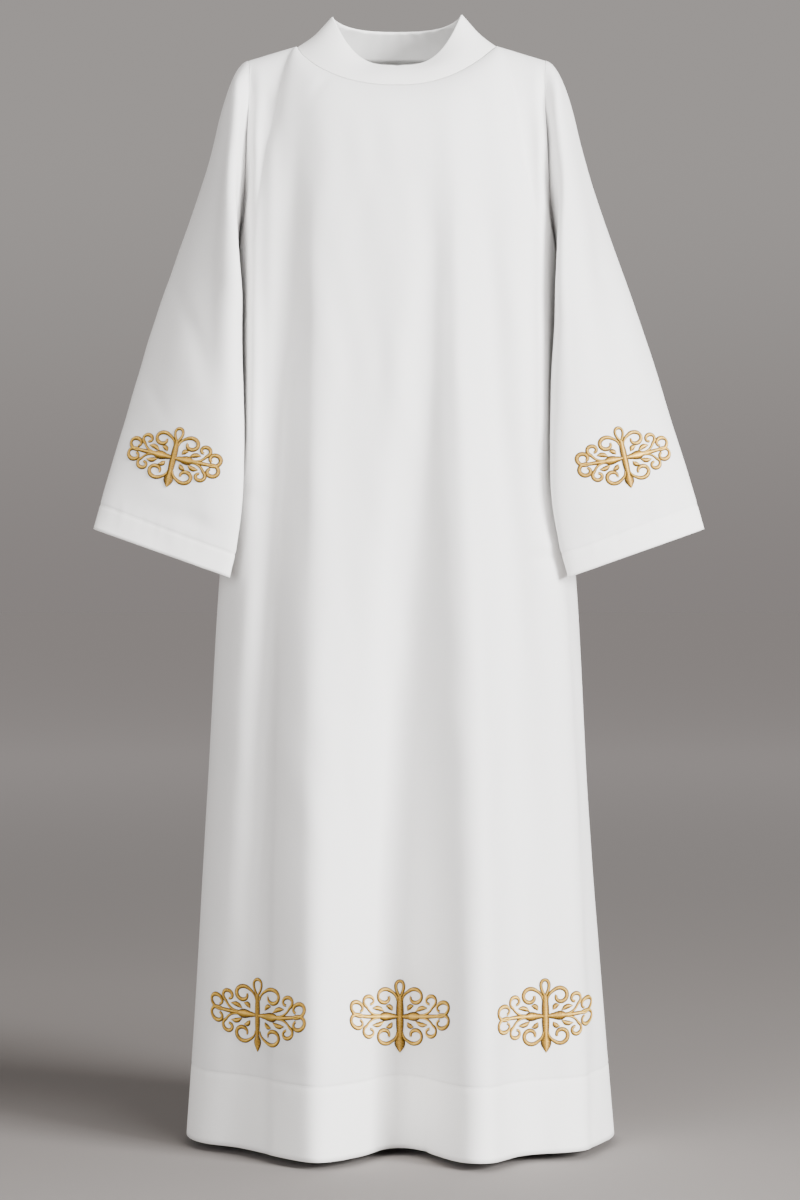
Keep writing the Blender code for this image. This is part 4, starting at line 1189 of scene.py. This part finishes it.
def crossStrokes():
    # each row is a path, the widths along it, and its height in the pile
    reach, tip = ornament["reach"], ornament["tip"]
    strokes = [
        (curved((0, 0), (0, reach)), (8.0, 8.8, 8.4, 7.6, 7.0), 2),
        (curved((0, 0), (0, -reach)), (8.0, 8.8, 8.4, 7.4, 6.0), 2),
        (curved((0, 1 - reach), (0, -tip)), (2.0, 7.6, 12.0, 12.8, 10.4, 5.2, 0.8), 1),
        (loopPath(reach, tip, ornament["loopWide"]), (1.8, 3.0, 3.2, 3.2, 3.2, 3.0, 1.8), 1),
    ]
    arm = [
        (curved((2, 0), (reach, 0)), (3.0, 4.4, 6.6, 9.0, 10.6, 10.4, 7.0), 1),
        (curved((reach - 2, 0), (reach + 22, 0)), (5.0, 4.4, 3.6), 0),
    ]
    quarter = []
    for place, radius, turn, width, spring in ornament["scrolls"]:
        middle = onEllipse(place)
        away = np.array(spring) - middle
        start = math.degrees(math.atan2(away[1], away[0]))
        winding = [radius * share for share in ornament["winding"]]
        radii = (float(np.linalg.norm(away)), radius * 1.12, *winding)
        widths = (width * 0.5, width * 0.9, width, width, width * 0.9, width * 0.6)
        quarter.append((scroll(middle, radii, (start, start + turn)), widths, 0))
    places = [row[0] for row in ornament["scrolls"]]
    for (near, far, width), first, second in zip(ornament["leaves"], places, places[1:]):
        between = (first + second) / 2
        inner, outer = onEllipse(between, near), onEllipse(between, far)
        way = (outer - inner) / np.linalg.norm(outer - inner)
        bow = (inner + outer) / 2 + ornament["leafBow"] * np.array([-way[1], way[0]])
        widths = (width * 0.2, width, width, width * 0.15)
        quarter.append((curved(inner, bow, outer, count=24), widths, 1))
    for part, ups in ((arm, (1,)), (quarter, (1, -1))):
        for path, widths, pile in part:
            strokes += [(path * [side, up], widths, pile) for side in (1, -1) for up in ups]
    return strokes


# on which piece each one is, how far across and down, its turn in degrees, the bend of its
# arms in millimetres at one millimetre out, and its height against the width
crosses = {
    "cross_hem_left": ("front", -0.1795, 1.2740, 0.2, 0.0020, 1.0),
    "cross_hem_middle": ("front", 0.0038, 1.2773, 0.0, 0.0032, 1.0),
    "cross_hem_right": ("front", 0.1912, 1.2728, 0.8, 0.0006, 1.0),
    "cross_sleeve_left": ("left", -0.2912, 0.5520, -13.5, 0.0004, 0.85),
    "cross_sleeve_right": ("right", 0.2965, 0.5520, 12.6, 0.0007, 0.87),
}
satin = {
    "pitch": 0.00068,  # real rayon thread lies 0.4 mm apart, drawn coarser to show
    "slant": math.radians(76), "thread": 0.00072, "rise": 0.00035, "riseShare": 0.13,
    "padding": 0.00045, "paddingSink": 0.0001, "paddingWall": 0.0002, "lift": 0.0002, "pile": 0.00035,
    "broad": 0.006, "fuller": (1.12, 1.30),  # how much broad and narrow strokes swell in the stitching
}


def surfaceOf(points, closed):
    mesh = gridMesh("surface", points, closed)
    places, faces = [v.co for v in mesh.vertices], [tuple(face.vertices) for face in mesh.polygons]
    tree = BVHTree.FromPolygons(places, faces)
    bpy.data.meshes.remove(mesh)
    return tree


surfaces = {
    "front": surfaceOf(frontPoints, False),
    "left": surfaceOf(sleeves[-1][1], True),
    "right": surfaceOf(sleeves[1][1], True),
}


def onCloth(cross, flat):
    # the flat drawing laid on the cloth from in front, with the way the cloth faces there
    on, middle, drop, degrees, bend, tall = cross
    turn = math.radians(degrees)
    points, normals = [], []
    for across, up in flat:
        a, b = 0.001 * across, 0.001 * (up * tall + bend * across**2)
        x = middle + a * math.cos(turn) - b * math.sin(turn)
        z = -drop + a * math.sin(turn) + b * math.cos(turn)
        place, normal, _, _ = surfaces[on].ray_cast(Vector((x, -1, z)), Vector((0, 1, 0)))
        if normal.y > 0:
            normal = -normal
        points.append(place)
        normals.append(normal)
    points, normals = np.array(points), np.array(normals)
    for _ in range(2):
        normals[1:-1] = unit(normals[:-2] + normals[1:-1] * 2 + normals[2:])
    return points, normals


def paddingMesh(name, laid):
    # the low rounded cord of padding stitches that the satin threads cross
    points, faces, uvs = [], [], []
    shape = np.linspace(-1, 1, 5)
    for line, normals, widths in laid:
        way = unit(np.gradient(line, axis=0))
        side = unit(np.cross(normals, way))
        first = len(points)
        for p, n, s, w in zip(line, normals, side, widths):
            for share in shape:
                high = (satin["padding"] + satin["riseShare"] * w) * (1 - share**2) - satin["paddingSink"]
                points.append(tuple(p + s * share * w * 0.5 + n * high))
                uvs.append((share / 2 + 0.5, 0.5))
        wide = len(shape)
        for i in range(len(line) - 1):
            for j in range(wide - 1):
                a = first + i * wide + j
                faces.append((a, a + 1, a + wide + 1, a + wide))
    mesh = newMesh(name, points, faces)
    mapStrand(mesh, uvs)
    return mesh


def makeCross(name, cross):
    laid = []
    for path, widths, pile in crossStrokes():
        points, normals = onCloth(cross, path)
        steps, places = np.linspace(0, 1, len(path)), np.linspace(0, 1, len(widths))
        width = np.interp(steps, places, widths) / 1000
        width = width * np.where(width > satin["broad"], *satin["fuller"])
        laid.append((points + normals * (satin["lift"] + satin["pile"] * pile), normals, width))
    sizes = {
        "Pitch": satin["pitch"], "Slant": satin["slant"], "Thread Width": satin["thread"],
        "Rise": satin["rise"] + satin["padding"], "Rise Share": satin["riseShare"],
        "Unevenness": 0.10, "Seed": 5,
    }
    threads = layStitches(name + "_satin", laid, satinStrand, goldThread, sizes)
    # the padding's dark colour is painted shade along the stroke's rims
    padding = makeObject(name + "_padding", paddingMesh(name + "_padding", laid), paddingPaintedShade)
    addWall(padding, "padding", satin["paddingWall"])
    return threads, padding


crossPieces = {name: makeCross(name, cross) for name, cross in crosses.items()}
for helper in (sewingStrand, satinStrand):
    bpy.data.objects.remove(helper, do_unlink=True)
print("crosses embroidered")


# ---- floor, light and camera ----


stage = {"floor": -1.457, "halfSize": 200.0, "low": "8A8482", "high": "A39E9B", "aim": (0, 0, -0.7)}
lamps = {
    "key": {"at": (3.9, -3.5, 0.7), "size": 2.2, "power": 930},
    "fill": {"at": (-2.4, -4.4, 0.2), "size": 3.0, "power": 190},
    "top": {"at": (1.1, -2.2, 2.5), "size": 1.2, "power": 95},
}
view = {"at": (0.004, -4.5, -0.7374), "sensor": 36, "lens": 101.25, "farthest": 600}


def makeFloor():
    h = stage["halfSize"]
    corners = [(x, y, stage["floor"]) for x, y in ((-h, -h), (h, -h), (h, h), (-h, h))]
    makeObject("floor", newMesh("floor", corners, [(0, 1, 2, 3)]), floorMaterial())


def makeRoom():
    # a pale grey room, a little darker where it meets the floor
    world = bpy.data.worlds.new("studio")
    world.use_nodes = True
    tree = world.node_tree
    background = tree.nodes["Background"]
    way = addNode(tree, "ShaderNodeTexCoord")
    split = addNode(tree, "ShaderNodeSeparateXYZ", links={"Vector": (way, "Generated")})
    height = addRange(tree, (-0.01, 0.14), (split, "Z"), "SMOOTHSTEP")
    grey = addBlend(tree, stage["low"], stage["high"], (height, "Result"))
    tree.links.new(grey.outputs["Result"], background.inputs["Color"])
    background.inputs["Strength"].default_value = 1.0
    bpy.context.scene.world = world


def makeLamp(name, lamp):
    light = bpy.data.lights.new(name, "AREA")
    light.shape = "DISK"
    light.size = lamp["size"]
    light.energy = lamp["power"]
    thing = addObject(name, light)
    thing.location = lamp["at"]
    aim = Vector(stage["aim"]) - Vector(lamp["at"])
    thing.rotation_euler = aim.to_track_quat("-Z", "Y").to_euler()


def makeCamera():
    camera = bpy.data.cameras.new("camera")
    camera.sensor_width = view["sensor"]
    camera.lens = view["lens"]
    camera.clip_end = view["farthest"]
    thing = addObject("camera", camera)
    thing.location = view["at"]
    thing.rotation_euler = (math.radians(90), 0, 0)
    bpy.context.scene.camera = thing


makeCamera()
makeFloor()
makeRoom()
for name, lamp in lamps.items():
    makeLamp(name, lamp)
print("stage set")


# ---- what each piece is and stands for ----

onHem = [piece for name in crossPieces if "hem" in name for piece in crossPieces[name]]
onLeft = list(crossPieces["cross_sleeve_left"])
onRight = list(crossPieces["cross_sleeve_right"])
# each piece, its size laid flat, its area, what it rests on, and what is sewn on it
panels = ["front_cloth", "back_cloth"]
garment = {
    "front": (front, (1.00, 1.49), 1.01, ["collar_cloth"], onHem + [seamPieces["front"]]),
    "back": (back, (0.96, 1.49), 0.96, ["collar_cloth"], [seamPieces["back"]]),
    "sleeve_left": (sleeves[-1][0], (0.53, 0.67), 0.26, panels, onLeft + [seamPieces["left"]]),
    "sleeve_right": (sleeves[1][0], (0.53, 0.67), 0.26, panels, onRight + [seamPieces["right"]]),
    "collar": (collarPiece, (0.74, 0.13), 0.065, panels, []),
}
for node, (piece, *_) in garment.items():
    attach(piece, "root")
    lengths = ("_chest", "_waist", "_skirt") if node in ("front", "back") else ("",)
    lengths = [node + length for length in lengths]
    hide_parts(*lengths)
for piece in seamPieces.values():
    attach(piece, "root")
for node, (threads, padding) in crossPieces.items():
    for piece in (threads, padding):
        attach(piece, "root")
        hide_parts(node)
